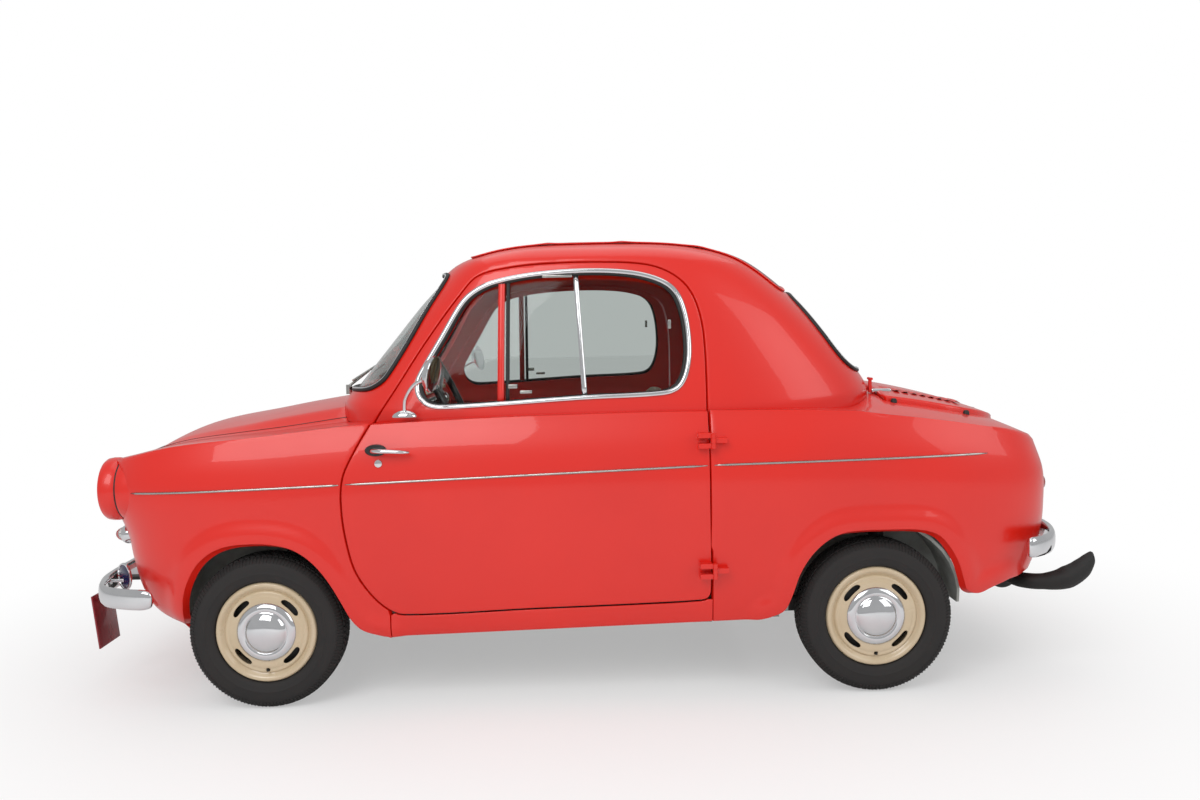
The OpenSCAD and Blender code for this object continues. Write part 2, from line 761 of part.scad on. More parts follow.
SEAT_Z = 390;            // underside of the seat cushions
module seat(side) {
    color(CREAM) translate([-60, side * 255, 0]) {
        translate([-200, -200, SEAT_Z]) pad([440, 400, 90], 30);
        translate([190, 0, SEAT_Z + 40]) rotate([0, 16, 0]) translate([0, -200, 0])
            pad([80, 400, 430], 30);
    }
    color(GREY) translate([-60, side * 255, 0]) {
        for (y = [-150, 150], x = [-150, 150])
            translate([x, y, FLOOR_Z + FLOOR_T]) cylinder(r = 10, h = SEAT_Z - FLOOR_Z - 2);
    }
}
module pad(size, r) {
    translate([r / 2, r / 2, 0]) linear_extrude(size[2])
        offset(r = r / 2) square([size[0] - r, size[1] - r]);
}

module rear_bench() {
    color(CREAM) translate([330, -430, FLOOR_Z + PAN_H + 2]) pad([200, 860, 98], 30);
}

DASH_W = 880;
COLUMN_R = 16;
module dashboard() {
    // a shelf with a face below it, open underneath, bored for the column
    color(RED) difference() {
        translate([-600, -DASH_W / 2, 720]) cube([120, DASH_W, 110]);
        translate([-602, 20 - DASH_W / 2, 700]) cube([90, DASH_W - 40, 110]);
        on_column() translate([0, 0, -200]) cylinder(r = COLUMN_R + 0.4, h = 200);
    }
}

WHEEL_TILT = 65;        // steering wheel's plane, from level
module on_column() {
    translate([-405, -245, 838]) rotate([0, WHEEL_TILT, 0]) children();
}
module steering_column() {
    color(DARK) on_column() translate([0, 0, -190]) cylinder(r = COLUMN_R, h = 163);
}
module steering_wheel() {
    color(DARK) on_column() {
        rotate_extrude() translate([178, 0]) circle(11);
        translate([0, 0, -22]) cylinder(r = 34, h = 26);
        for (a = [30, 150, 270]) rotate([0, 0, a]) translate([25, -8, -8]) cube([148, 16, 7]);
    }
}

// ---------------------------------------------------------------- wheels and suspension

module at_wheel(x, side) {
    translate([x, side * half_track, tyre_r]) rotate([-side * 90, 0, 0]) children();
}

// Cross-section of the tyre: bulged walls and a flat tread.
module tyre_section() {
    w = tyre_w / 2;
    polygon(concat(
        [[rim_r - 11.5, -w + 19], [rim_r - 6.5, -w + 15.5]],
        [for (a = [-150 : 15 : -60]) [rim_r + 32 + 34 * cos(a), -w + 26 + 26 * sin(a)]],
        [[tyre_r - 12, -w + 14], [tyre_r - 3, -w + 24], [tyre_r, -w + 34], [tyre_r, w - 34],
         [tyre_r - 3, w - 24], [tyre_r - 12, w - 14]],
        [for (a = [60 : 15 : 150]) [rim_r + 32 + 34 * cos(a), w - 26 + 26 * sin(a)]],
        [[rim_r - 6.5, w - 15.5], [rim_r - 11.5, w - 19]]));
}
module tyre(x, side) {
    color(DARK) at_wheel(x, side) rotate_extrude($fn = 96) tyre_section();
}

// Pressed disc with cooling slots, rim and domed hub cap, with a hub that turns
// on the spindle.
SPINDLE_R = 16;
module wheel(x, side) {
    w = tyre_w / 2;
    at_wheel(x, side) {
        color(CREAM) rotate_extrude() translate([SPINDLE_R + 0.3, w - 74]) square([16, 38]);
        color(CREAM) difference() {
            rotate_extrude($fn = 96) polygon([
                [30, w - 40], [80, w - 40], [98, w - 30], [112, w - 44], [118, w - 44],
                [118, -w + 16], [rim_r - 14, -w + 14], [rim_r - 13, -w + 8], [rim_r, -w + 4],
                [rim_r, -w + 9], [rim_r - 8, -w + 14], [rim_r - 12.5, -w + 18],
                [rim_r - 12.5, w - 18], [rim_r - 8, w - 14], [rim_r, w - 9], [rim_r, w - 4],
                [rim_r - 10, w - 8], [rim_r - 20, w - 14], [114, w - 36],
                [98, w - 24], [78, w - 34], [30, w - 34]]);
            for (i = [0 : slot_count - 1]) rotate([0, 0, i * 360 / slot_count + 45])
                for (a = [-9, 0, 9]) rotate([0, 0, a]) translate([92, 0, 0]) cylinder(r = 9, h = 60);
        }
        color(CHROME) rotate_extrude($fn = 96) polygon([
            [0, w - 40], [70, w - 33], [cap_d / 2, w - 26], [66, w - 12], [50, w - 4],
            [46, w - 5], [30, w + 4], [0, w + 10]]);
    }
}

KINGPIN = half_track - 78;
DRUM_R = 66;
ARM_W = 44;
module knuckle(side) {
    color(GREY) translate([-front_axle, side * KINGPIN, tyre_r]) {
        translate([0, 0, -70]) cylinder(r = 15, h = 140);
        rotate([-side * 90, 0, 0]) cylinder(r = SPINDLE_R, h = 90);
        translate([0, side * 14, 0]) rotate([-side * 90, 0, 0]) cylinder(r = DRUM_R, h = 8);
    }
}
module front_suspension() {
    color(DARK) sides() {
        // upper and lower arm, and the strut that stands on them
        for (z = [-90, 71])
            translate([-front_axle - ARM_W / 2, -KINGPIN - 8, tyre_r + z])
                cube([ARM_W, KINGPIN - 254, 18]);
        translate([-front_axle + 45, -KINGPIN + 40, tyre_r + 90]) rotate([-6, 0, 0])
            cylinder(r = 24, h = 150);
    }
    color(DARK) translate([-front_axle - 30, -262, tyre_r - 95]) cube([60, 524, 190]);
}
module rear_suspension() {
    color(DARK) sides() {
        // trailing arm, half shaft, brake drum and damper
        translate([rear_axle - 250, -440, tyre_r - 20]) cube([270, 40, 40]);
        translate([rear_axle, -half_track - 12, tyre_r]) rotate([-90, 0, 0])
            cylinder(r = SPINDLE_R, h = half_track + 12 - 185);
        translate([rear_axle, -475, tyre_r]) rotate([-90, 0, 0]) cylinder(r = DRUM_R, h = 12);
        translate([rear_axle + 40, -440, tyre_r + 20]) rotate([2, 0, 0]) cylinder(r = 22, h = 225);
    }
}

floor_pan();
front_body();
rear_body();
cabin_frame();
fabric_roof();
windscreen();
rear_window();
wheelhouses();
dashboard();
seat(-1);  // seat_left
seat(1);  // seat_right
rear_bench();
steering_column();
steering_wheel();
engine();
exhaust();
front_bumper();
rear_bumper();
headlamps();
side_lamps();
tail_lamps();
grille();
rear_plate();
front_plate();
wipers();
front_suspension();
rear_suspension();
engine_lid();
door(-1);  // door_left
door(1);  // door_right
door_glass(-1);  // door_glass_left
door_glass(1);  // door_glass_right
hinge_pins();
hinge_leaves(-1);  // hinge_leaves_left
hinge_leaves(1);  // hinge_leaves_right
door_mirror(-1);  // mirror_left
door_mirror(1);  // mirror_right
knuckle(-1);  // knuckle_left
knuckle(1);  // knuckle_right
tyre(-front_axle, -1);  // tyre_front_left
tyre(-front_axle, 1);  // tyre_front_right
tyre(rear_axle, -1);  // tyre_rear_left
tyre(rear_axle, 1);  // tyre_rear_right
wheel(-front_axle, -1);  // wheel_front_left
wheel(-front_axle, 1);  // wheel_front_right
wheel(rear_axle, -1);  // wheel_rear_left
wheel(rear_axle, 1);  // wheel_rear_right
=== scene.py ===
"""Looks of a two-seat microcar: enamelled panels, trim, glass, cabin, wheels and running gear.

Lengths are in millimetres until a mesh is made, and then in metres, in the car's own frame:
+Z is up, the nose points along -X and the left side is -Y.
"""

import logging
import math
from collections.abc import Callable, Sequence
from dataclasses import dataclass, field
from enum import Enum

import bmesh
import bpy
import numpy as np
from mathutils import Matrix, Vector


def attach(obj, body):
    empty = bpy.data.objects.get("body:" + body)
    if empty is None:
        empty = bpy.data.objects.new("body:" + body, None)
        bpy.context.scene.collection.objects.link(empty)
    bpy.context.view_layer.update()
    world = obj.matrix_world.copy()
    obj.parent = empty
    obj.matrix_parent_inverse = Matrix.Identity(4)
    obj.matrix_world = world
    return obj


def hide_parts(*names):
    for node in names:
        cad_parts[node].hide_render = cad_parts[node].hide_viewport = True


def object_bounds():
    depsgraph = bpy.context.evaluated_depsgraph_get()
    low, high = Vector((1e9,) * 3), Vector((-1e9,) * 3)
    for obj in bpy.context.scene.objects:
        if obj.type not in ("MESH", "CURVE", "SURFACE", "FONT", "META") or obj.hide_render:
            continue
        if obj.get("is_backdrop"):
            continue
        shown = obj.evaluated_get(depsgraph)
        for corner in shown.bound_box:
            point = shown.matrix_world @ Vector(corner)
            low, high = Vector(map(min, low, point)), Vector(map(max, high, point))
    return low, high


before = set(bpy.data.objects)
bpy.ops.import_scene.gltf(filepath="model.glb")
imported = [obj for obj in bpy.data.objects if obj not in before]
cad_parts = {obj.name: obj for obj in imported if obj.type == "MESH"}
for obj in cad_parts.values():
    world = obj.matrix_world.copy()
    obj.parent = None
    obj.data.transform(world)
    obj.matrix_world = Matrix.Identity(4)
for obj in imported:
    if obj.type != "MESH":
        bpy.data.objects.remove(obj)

MM = 0.001
# Distance in millimetres past which a cut no longer matters.
FAR = 60.0
LEFT, RIGHT = SIDES = (-1, 1)

log = logging.getLogger("microcar")

Array = np.ndarray
Surface = Callable[[Array, Array], Array]
Piece = bpy.types.Object
Pair = tuple[float, float]
Point = tuple[float, float, float]
Floats = Sequence[float]


# ---- colour and materials


def linear(hex_colour: str, alpha: float = 1.0) -> tuple[float, ...]:
    """Turns an sRGB hex colour to linear light.

    Args:
        hex_colour: six hex digits after a hash.
        alpha: opacity.

    Returns:
        Linear red, green, blue and alpha.
    """
    parts = [int(hex_colour[i : i + 2], 16) / 255 for i in (1, 3, 5)]
    rgb = [c / 12.92 if c <= 0.04045 else ((c + 0.055) / 1.055) ** 2.4 for c in parts]
    return rgb[0], rgb[1], rgb[2], alpha


def add_node(tree: bpy.types.NodeTree, kind: str, inputs: dict | None = None, **settings) -> bpy.types.Node:
    """Adds a node with its settings and its inputs.

    Args:
        tree: the tree to add to.
        kind: the node's type name.
        inputs: value or source socket for each input, by name or number.
        settings: attributes of the node itself.

    Returns:
        The new node.
    """
    node = tree.nodes.new(kind)
    for key, value in settings.items():
        setattr(node, key, value)
    for key, value in (inputs or {}).items():
        socket = node.inputs[key]
        if isinstance(value, bpy.types.NodeSocket):
            tree.links.new(value, socket)
        else:
            socket.default_value = value
    return node


class Texture(Enum):
    """Kinds of surface pattern a finish may carry."""

    PLAIN = "plain"
    ORANGE_PEEL = "orange peel"
    GRAIN = "grain"
    WEAVE = "weave"
    RIBBED = "ribbed"
    CAST = "cast"


@dataclass(frozen=True)
class Finish:
    """One real finish, as the shader sees it.

    Attributes:
        name: the material's own name and process.
        colour: sRGB hex colour.
        second: sRGB hex colour of the mottling, where it has one.
        mottle_mm: size of the mottling.
        mottle: share of the second colour at its strongest.
        metallic: 1 for bare metal.
        roughness: mean micro roughness.
        rough_spread: how far roughness wanders either way.
        coat: weight of a clear top coat.
        texture: the surface pattern.
        pitch_mm: real spacing of the pattern.
        depth_mm: real depth of the pattern.
        transmission: 1 for clear glass.
        ior: index of refraction.
        sheen: weight of cloth sheen.
    """

    name: str
    colour: str
    second: str | None = None
    mottle_mm: float = 120.0
    mottle: float = 0.3
    metallic: float = 0.0
    roughness: float = 0.4
    rough_spread: float = 0.05
    coat: float = 0.0
    texture: Texture = Texture.PLAIN
    pitch_mm: float = 2.0
    depth_mm: float = 0.05
    transmission: float = 0.0
    ior: float = 1.5
    sheen: float = 0.0

    def build(self) -> bpy.types.Material:
        """Makes this finish into a node material, once.

        Returns:
            The material.
        """
        made = bpy.data.materials.get(self.name)
        if made is not None:
            return made
        material = bpy.data.materials.new(self.name)
        material.use_nodes = True
        tree = material.node_tree
        shader = tree.nodes["Principled BSDF"]
        place = add_node(tree, "ShaderNodeTexCoord").outputs["Object"]
        shader.inputs["Metallic"].default_value = self.metallic
        shader.inputs["Coat Weight"].default_value = self.coat
        shader.inputs["Coat Roughness"].default_value = 0.03
        shader.inputs["Transmission Weight"].default_value = self.transmission
        shader.inputs["Sheen Weight"].default_value = self.sheen
        if self.metallic < 1:
            shader.inputs["IOR"].default_value = self.ior
        if self.transmission:
            shader.inputs["Base Color"].default_value = linear(self.colour)
            shader.inputs["Roughness"].default_value = self.roughness
            return material
        mottling = add_node(tree, "ShaderNodeTexNoise",
            {"Vector": place, "Scale": 1000.0 / self.mottle_mm, "Detail": 4.0, "Roughness": 0.55}).outputs[
            "Fac"]
        share = add_node(tree, "ShaderNodeMapRange",
            {"Value": mottling, "From Min": 0.35, "From Max": 0.7, "To Min": 0.0, "To Max": self.mottle})
        colours = {0: share.outputs["Result"], 6: linear(self.colour), 7: linear(self.second or self.colour)}
        colour = add_node(tree, "ShaderNodeMix", colours, data_type="RGBA").outputs[2]
        tree.links.new(colour, shader.inputs["Base Color"])
        rough = add_node(tree, "ShaderNodeMapRange",
            {"Value": mottling, "From Min": 0.3, "From Max": 0.7,
            "To Min": max(0.02, self.roughness - self.rough_spread),
            "To Max": self.roughness + self.rough_spread}).outputs["Result"]
        tree.links.new(rough, shader.inputs["Roughness"])
        height = self._pattern(tree, place)
        if height is not None:
            bump = add_node(tree, "ShaderNodeBump",
                {"Height": height, "Distance": self.depth_mm * MM, "Strength": 1.0}).outputs["Normal"]
            tree.links.new(bump, shader.inputs["Normal"])
            if self.coat and self.texture is Texture.ORANGE_PEEL:
                tree.links.new(bump, shader.inputs["Coat Normal"])
        return material

    def _pattern(self, tree: bpy.types.NodeTree, place: bpy.types.NodeSocket) -> bpy.types.NodeSocket | None:
        """Builds the surface pattern.

        Args:
            tree: the material's tree.
            place: object coordinates in metres.

        Returns:
            The height socket, or None where the finish is plain.
        """
        per_metre = 1000.0 / self.pitch_mm
        if self.texture in (Texture.ORANGE_PEEL, Texture.GRAIN, Texture.CAST):
            detail = {Texture.ORANGE_PEEL: 1.0, Texture.GRAIN: 5.0, Texture.CAST: 8.0}[self.texture]
            noise = add_node(tree, "ShaderNodeTexNoise",
                {"Vector": place, "Scale": per_metre, "Detail": detail})
            return noise.outputs["Fac"]
        wave = {"Vector": place, "Scale": per_metre * math.pi / 10}
        if self.texture is Texture.WEAVE:
            wave["Distortion"] = 0.6
            bands = [add_node(tree, "ShaderNodeTexWave", wave, bands_direction=axis).outputs["Fac"]
                for axis in ("X", "Y")]
            return add_node(tree, "ShaderNodeMath", dict(enumerate(bands)), operation="MAXIMUM").outputs[0]
        if self.texture is Texture.RIBBED:
            return add_node(tree, "ShaderNodeTexWave", wave, bands_direction="Y").outputs["Fac"]
        return None


# The finishes of the car, each named for its real material and process.

# Stoving enamel, sprayed and polished: deep warm red with a clear, slightly rippled gloss.
RED = Finish("stoved_red_enamel", "#df1a05", "#d21404", 420, 0.5, roughness=0.36, coat=0.45,
    texture=Texture.ORANGE_PEEL, pitch_mm=7, depth_mm=0.012)
# The same enamel inside the cabin and on panel insides, brushed on under less light: its duller colour is
# painted shade for that less light, a shaded copy of the body red.
RED_INSIDE_SHADED = Finish("brushed_red_enamel_shaded", "#d8281a", "#c22014", 300, 0.5, roughness=0.36, coat=0.4,
    texture=Texture.ORANGE_PEEL, pitch_mm=5, depth_mm=0.03)
# Cream enamel on pressed steel: soft gloss with a faint warm mottle.
CREAM = Finish("cream_wheel_enamel", "#cbb89a", "#bda886", 90, 0.5, roughness=0.28, coat=0.6,
    texture=Texture.ORANGE_PEEL, pitch_mm=4, depth_mm=0.01)
# Nickel and chrome plate, polished: mirror bright with light haze.
CHROME = Finish("polished_chrome_plate", "#d9dadc", "#c3c4c8", 60, 0.4, metallic=1.0, roughness=0.07,
    rough_spread=0.03)
# Chrome plate that has dulled to a brushed look, on wipers and small trim.
SATIN_CHROME = Finish("satin_chrome_plate", "#bdbcb8", "#96948f", 30, 0.5, metallic=1.0, roughness=0.24,
    rough_spread=0.06)
# Cross-ply tyre rubber, moulded: near black with a dusty bloom.
TYRE = Finish("moulded_tyre_rubber", "#1b1919", "#2a2624", 45, 0.6, roughness=0.72, texture=Texture.GRAIN,
    pitch_mm=1.6, depth_mm=0.12)
# Extruded black rubber for seals, buffers and grommets.
SEAL = Finish("extruded_black_rubber", "#171717", "#242322", 25, 0.5, roughness=0.55, texture=Texture.GRAIN,
    pitch_mm=1.2, depth_mm=0.05)
# Rubberised roof cloth: dark red twill with a soft sheen.
CANVAS = Finish("rubberised_roof_cloth", "#6d1f20", "#561718", 160, 0.6, roughness=0.78, texture=Texture.WEAVE,
    pitch_mm=2.4, depth_mm=0.12, sheen=0.25)
# Toughened window glass.
GLASS = Finish("toughened_window_glass", "#f2f7f5", roughness=0.0, transmission=1.0, ior=1.2)
# Pressed and fluted lamp glass.
LENS = Finish("pressed_lamp_glass", "#f7faf8", roughness=0.02, transmission=1.0, ior=1.35)
# Red moulded lamp lens, lit from behind only by the room.
RED_LENS = Finish("moulded_red_lens", "#a30f12", "#7c080b", 12, 0.4, roughness=0.12, coat=1.0,
    texture=Texture.RIBBED, pitch_mm=4, depth_mm=0.4)
# Grey stone-guard paint under the wings: dull, pitted.
UNDERSEAL = Finish("sprayed_underseal", "#a3a6a2", "#7e7c76", 70, 0.7, roughness=0.75, texture=Texture.CAST,
    pitch_mm=4, depth_mm=0.3)
# Black chassis paint on arms and axles.
CHASSIS = Finish("black_chassis_paint", "#222324", "#35322e", 50, 0.6, roughness=0.5, texture=Texture.GRAIN,
    pitch_mm=3, depth_mm=0.08)
# Bare cast aluminium of the engine block.
CAST = Finish("sand_cast_aluminium", "#8b8d8c", "#6a6b69", 40, 0.6, metallic=1.0, roughness=0.5,
    texture=Texture.CAST, pitch_mm=3, depth_mm=0.25)
# Heat-proof matt black on the exhaust.
HEAT_BLACK = Finish("heatproof_matt_black", "#141414", "#221f1d", 35, 0.6, roughness=0.62,
    texture=Texture.GRAIN, pitch_mm=2, depth_mm=0.06)
# Moulded black phenolic of the steering wheel.
PHENOLIC = Finish("moulded_black_phenolic", "#101011", "#191919", 30, 0.4, roughness=0.2, coat=0.5)
# Ribbed seat cloth in sand and tan.
SEAT = Finish("ribbed_seat_cloth", "#b09a72", "#97825c", 80, 0.5, roughness=0.85, texture=Texture.WEAVE,
    pitch_mm=3, depth_mm=0.25, sheen=0.3)
# Embossed leathercloth on seat edges and door cards.
LEATHERCLOTH = Finish("embossed_leathercloth", "#d8c9a6", "#c7b58d", 60, 0.4, roughness=0.5,
    texture=Texture.GRAIN, pitch_mm=2.5, depth_mm=0.15)
# Moulded rubber floor mat.
MAT = Finish("ribbed_floor_mat", "#1d1d1d", "#2a2926", 90, 0.5, roughness=0.8, texture=Texture.RIBBED,
    pitch_mm=8, depth_mm=0.8)
# Deep red enamel of the badge plate, on flat sheet.
PLATE = Finish("enamelled_plate", "#8e1a26", "#7a1420", 60, 0.4, roughness=0.3, coat=0.5)
# Black enamel of the number plate, left blank.
PLATE_BLACK = Finish("pressed_black_plate", "#151517", "#1f1f22", 50, 0.4, roughness=0.32, coat=0.4)
# Vitreous blue enamel of the round badge.
BLUE = Finish("vitreous_blue_enamel", "#1a2350", "#10173a", 25, 0.5, roughness=0.15, coat=1.0)
# White gauge card.
DIAL = Finish("printed_gauge_card", "#e9e4d4", "#d9d2bd", 20, 0.3, roughness=0.6)


# ---- curves and outlines


def hermite(t: Array, start: Array, end: Array, leave: Array, arrive: Array) -> Array:
    """Returns a smooth stretch between two places with a given slope at each."""
    return ((2 * t**3 - 3 * t**2 + 1) * start + (t**3 - 2 * t**2 + t) * leave + (3 * t**2 - 2 * t**3) * end
        + (t**3 - t**2) * arrive)


class Curve:
    """Smooth height curve through given points."""

    def __init__(self, points: Sequence[Pair]) -> None:
        """Stores the points and the slope at each, from its neighbours."""
        self.x, self.y = np.array(points, float).T
        before, after = neighbours(len(points))
        self.slope = (self.y[after] - self.y[before]) / (self.x[after] - self.x[before])

    def __call__(self, at: Array | float) -> Array:
        """Returns the curve's height at each place."""
        u = np.clip(at, self.x[0], self.x[-1])
        i = np.clip(np.searchsorted(self.x, u, side="right") - 1, 0, len(self.x) - 2)
        w = self.x[i + 1] - self.x[i]
        return hermite((u - self.x[i]) / w, self.y[i], self.y[i + 1], w * self.slope[i], w * self.slope[i + 1])


def neighbours(count: int, closed: bool = False) -> tuple[Array, Array]:
    """Returns the number before and after each point of a row or a loop."""
    i = np.arange(count)
    if closed:
        return np.roll(i, 1), np.roll(i, -1)
    return np.maximum(i - 1, 0), np.minimum(i + 1, count - 1)


def ease(t: Array | float) -> Array:
    """Returns a smooth step from 0 to 1."""
    u = np.clip(t, 0, 1)
    return u * u * (3 - 2 * u)


def mix(a: Array | float, b: Array | float, t: Array | float) -> Array:
    """Returns the value between a and b at share t."""
    return a + (b - a) * t


def round_off(points: Sequence[Pair], closed: bool = True, steps: int = 10) -> Array:
    """Draws a smooth outline through given points.

    Args:
        points: the corner points.
        closed: whether the last point joins the first.
        steps: points on each stretch.

    Returns:
        The outline's points.
    """
    p = np.array(points, float)
    n = len(p)
    before, after = neighbours(n, closed)
    way = p[after] - p[before]
    way /= np.linalg.norm(way, axis=1, keepdims=True)
    t = np.linspace(0, 1, steps, endpoint=False)[:, None]
    out = []
    for i in range(n if closed else n - 1):
        j = (i + 1) % n
        length = np.linalg.norm(p[j] - p[i])
        out.append(hermite(t, p[i], p[j], length * way[i], length * way[j]))
    return np.vstack(out if closed else [*out, p[-1:]])


def round_box(width: float, height: float, radius: float, centre: Pair = (0, 0)) -> Array:
    """Draws a rectangle with round corners.

    Args:
        width: size along the first axis.
        height: size along the second.
        radius: corner radius.
        centre: its middle.

    Returns:
        The outline's points.
    """
    corners = []
    for sx, sy, start in ((1, 1, 0), (-1, 1, 90), (-1, -1, 180), (1, -1, 270)):
        middle = (centre[0] + sx * (width / 2 - radius), centre[1] + sy * (height / 2 - radius))
        for a in np.radians(np.linspace(start, start + 90, 9)):
            corners.append((middle[0] + radius * math.cos(a), middle[1] + radius * math.sin(a)))
    return np.array(corners)


def distance_to(line: Array, q: Array) -> Array:
    """Measures how far places are from a line.

    Args:
        line: the points it runs through.
        q: the places.

    Returns:
        A distance for each place.
    """
    best = np.full(len(q), np.inf)
    for a, b in zip(line[:-1], line[1:]):
        d = b - a
        t = np.clip(((q - a) @ d) / max(d @ d, 1e-9), 0, 1)[:, None]
        best = np.minimum(best, ((q - a - t * d) ** 2).sum(1))
    return np.sqrt(best)


@dataclass
class Outline:
    """A closed outline in one of the car's three views."""

    points: Array

    def nearest(self, q: Array) -> Array:
        """Measures how far places are from the outline.

        Args:
            q: places in the view.

        Returns:
            A signed distance for each, positive outside.
        """
        inside = np.zeros(len(q), bool)
        for p0, p1 in zip(self.points, np.roll(self.points, -1, 0)):
            crosses = (p0[1] > q[:, 1]) != (p1[1] > q[:, 1])
            if crosses.any() and abs(p1[1] - p0[1]) > 1e-12:
                inside ^= crosses & (q[:, 0] < p0[0] + (q[:, 1] - p0[1]) * (p1[0] - p0[0]) / (p1[1] - p0[1]))
        return np.where(inside, -1, 1) * distance_to(np.vstack([self.points, self.points[:1]]), q)

    def grown(self, by: float) -> "Outline":
        """Moves the outline outwards.

        Args:
            by: how far.

        Returns:
            The new outline.
        """
        p = self.points
        along = np.roll(p, -1, 0) - np.roll(p, 1, 0)
        length = np.maximum(np.linalg.norm(along, axis=1, keepdims=True), 1e-9)
        outward = np.c_[along[:, 1], -along[:, 0]] / length
        area = np.sum(p[:, 0] * np.roll(p[:, 1], -1) - np.roll(p[:, 0], -1) * p[:, 1])
        return Outline(p + by * math.copysign(1, area) * outward)


class View(Enum):
    """The two axes that a view keeps."""

    SIDE = (0, 2)
    FRONT = (1, 2)
    TOP = (0, 1)


@dataclass
class Trim:
    """Cuts a panel along an outline, keeping its inside or its outside.

    Attributes:
        outline: the outline.
        view: the view it is drawn in.
        inside: whether the panel keeps what is inside.
        where: which points the cut applies to; all of them if None.
    """

    outline: Outline
    view: View
    inside: bool
    where: Callable[[Array], Array] | None = None

    def room(self, p: Array) -> Array:
        """Measures how far places are from the cut.

        Args:
            p: places in the car.

        Returns:
            A distance for each, positive where the panel stays.
        """
        q = p[:, list(self.view.value)]
        low, high = self.outline.points.min(0) - FAR, self.outline.points.max(0) + FAR
        near = ((q > low) & (q < high)).all(1)
        far = np.full(len(q), FAR)
        if near.any():
            far[near] = self.outline.nearest(q[near])
        value = -far if self.inside else far
        if self.where is not None:
            value = np.where(self.where(p), value, FAR)
        return value


# ---- meshes


def placed(name: str, data: bpy.types.ID) -> Piece:
    """Puts data into the scene as an object at the origin."""
    piece = bpy.data.objects.new(name, data)
    bpy.context.scene.collection.objects.link(piece)
    return piece


def discard(pieces: Sequence[Piece]) -> None:
    """Removes objects together with their meshes."""
    for piece in pieces:
        data = piece.data
        bpy.data.objects.remove(piece)
        bpy.data.meshes.remove(data)


def make_mesh(points: Array, faces: Sequence[Sequence[int]], finish: Finish) -> Piece:
    """Makes a smooth-shaded part from points in millimetres.

    Args:
        points: corner places in millimetres.
        faces: corner numbers of each face.
        finish: the finish it takes.

    Returns:
        The new part.
    """
    mesh = bpy.data.meshes.new("part")
    mesh.from_pydata((np.asarray(points, float) * MM).tolist(), [], [list(map(int, f)) for f in faces])
    mesh.polygons.foreach_set("use_smooth", [True] * len(mesh.polygons))
    mesh.materials.append(finish.build())
    mesh.update()
    return placed("part", mesh)


def ribbon_faces(rows: int, columns: int, closed_rows: bool, closed_columns: bool) -> list[tuple[int, ...]]:
    """Joins neighbours in a grid of points.

    Args:
        rows: number of rows.
        columns: points in a row.
        closed_rows: whether the last row joins the first.
        closed_columns: whether each row is a ring.

    Returns:
        The quads.
    """
    faces = []
    for i in range(rows if closed_rows else rows - 1):
        for j in range(columns if closed_columns else columns - 1):
            k, m = (i + 1) % rows, (j + 1) % columns
            faces.append((i * columns + j, k * columns + j, k * columns + m, i * columns + m))
    return faces


def fix_normals(piece: Piece, merge_mm: float = 0.01) -> Piece:
    """Merges doubled corners and points every face outwards.

    Args:
        piece: the part.
        merge_mm: how close doubled corners are.

    Returns:
        The same part.
    """
    work = bmesh.new()
    work.from_mesh(piece.data)
    bmesh.ops.remove_doubles(work, verts=work.verts, dist=merge_mm * MM)
    bmesh.ops.recalc_face_normals(work, faces=work.faces)
    work.to_mesh(piece.data)
    work.free()
    return piece


def joined(name: str, pieces: Sequence[Piece]) -> Piece:
    """Joins pieces into one mesh and removes the originals.

    Args:
        name: the joined piece's name.
        pieces: objects at the origin.

    Returns:
        The joined object.
    """
    slots: list[bpy.types.Material] = []
    work = bmesh.new()
    for piece in pieces:
        start = len(work.faces)
        work.from_mesh(piece.data)
        work.faces.ensure_lookup_table()
        own = list(piece.data.materials)
        slots += [m for m in own if m not in slots]
        for face in work.faces[start:]:
            face.material_index = slots.index(own[min(face.material_index, len(own) - 1)])
    mesh = bpy.data.meshes.new(name)
    for m in slots:
        mesh.materials.append(m)
    work.to_mesh(mesh)
    work.free()
    discard(pieces)
    return placed(name, mesh)


def sweep(path: Array, profile: Array, up: Array | Point, finish: Finish, closed: bool = False,
        width: Array | None = None) -> Piece:
    """Carries a closed profile along a path.

    Args:
        path: points along the way, in millimetres.
        profile: profile points, first across the path and then along up.
        up: one direction for all, or one for each path point.
        finish: the finish it takes.
        closed: whether the path is a loop.
        width: scale of the profile at each path point.

    Returns:
        The swept piece.
    """
    path = np.asarray(path, float)
    n = len(path)
    before, after = neighbours(n, closed)
    along = path[after] - path[before]
    along /= np.maximum(np.linalg.norm(along, axis=1, keepdims=True), 1e-9)
    ups = np.broadcast_to(np.asarray(up, float), (n, 3))
    side = np.cross(along, ups)
    side /= np.maximum(np.linalg.norm(side, axis=1, keepdims=True), 1e-9)
    ups = np.cross(side, along)
    scale = np.ones((n, 1, 1)) if width is None else np.asarray(width)[:, None, None]
    points = path[:, None] + scale * profile[:, :1] * side[:, None] + scale * profile[:, 1:] * ups[:, None]
    m = len(profile)
    faces = ribbon_faces(n, m, closed, True)
    if not closed:
        faces.append(tuple(range(m)))
        faces.append(tuple(range((n - 1) * m, n * m))[::-1])
    return fix_normals(make_mesh(points.reshape(-1, 3), faces, finish))


def put(place: Floats, degrees: float, axis: str) -> Matrix:
    """Returns the matrix that turns a part about an axis and moves it to a place."""
    return Matrix.Translation(place) @ Matrix.Rotation(math.radians(degrees), 4, axis)


def ahead(x: float, y: float, z: float, forward: bool = True) -> Matrix:
    """Returns a matrix that points a turned piece forwards or backwards."""
    return put((x, y, z), -90 if forward else 90, "Y")


def disc_profile(radius: float, sides: int = 12, flat: float = 1.0) -> Array:
    """Returns a round or flattened profile."""
    a = np.linspace(0, 2 * math.pi, sides, endpoint=False)
    return np.c_[radius * np.cos(a), radius * flat * np.sin(a)]


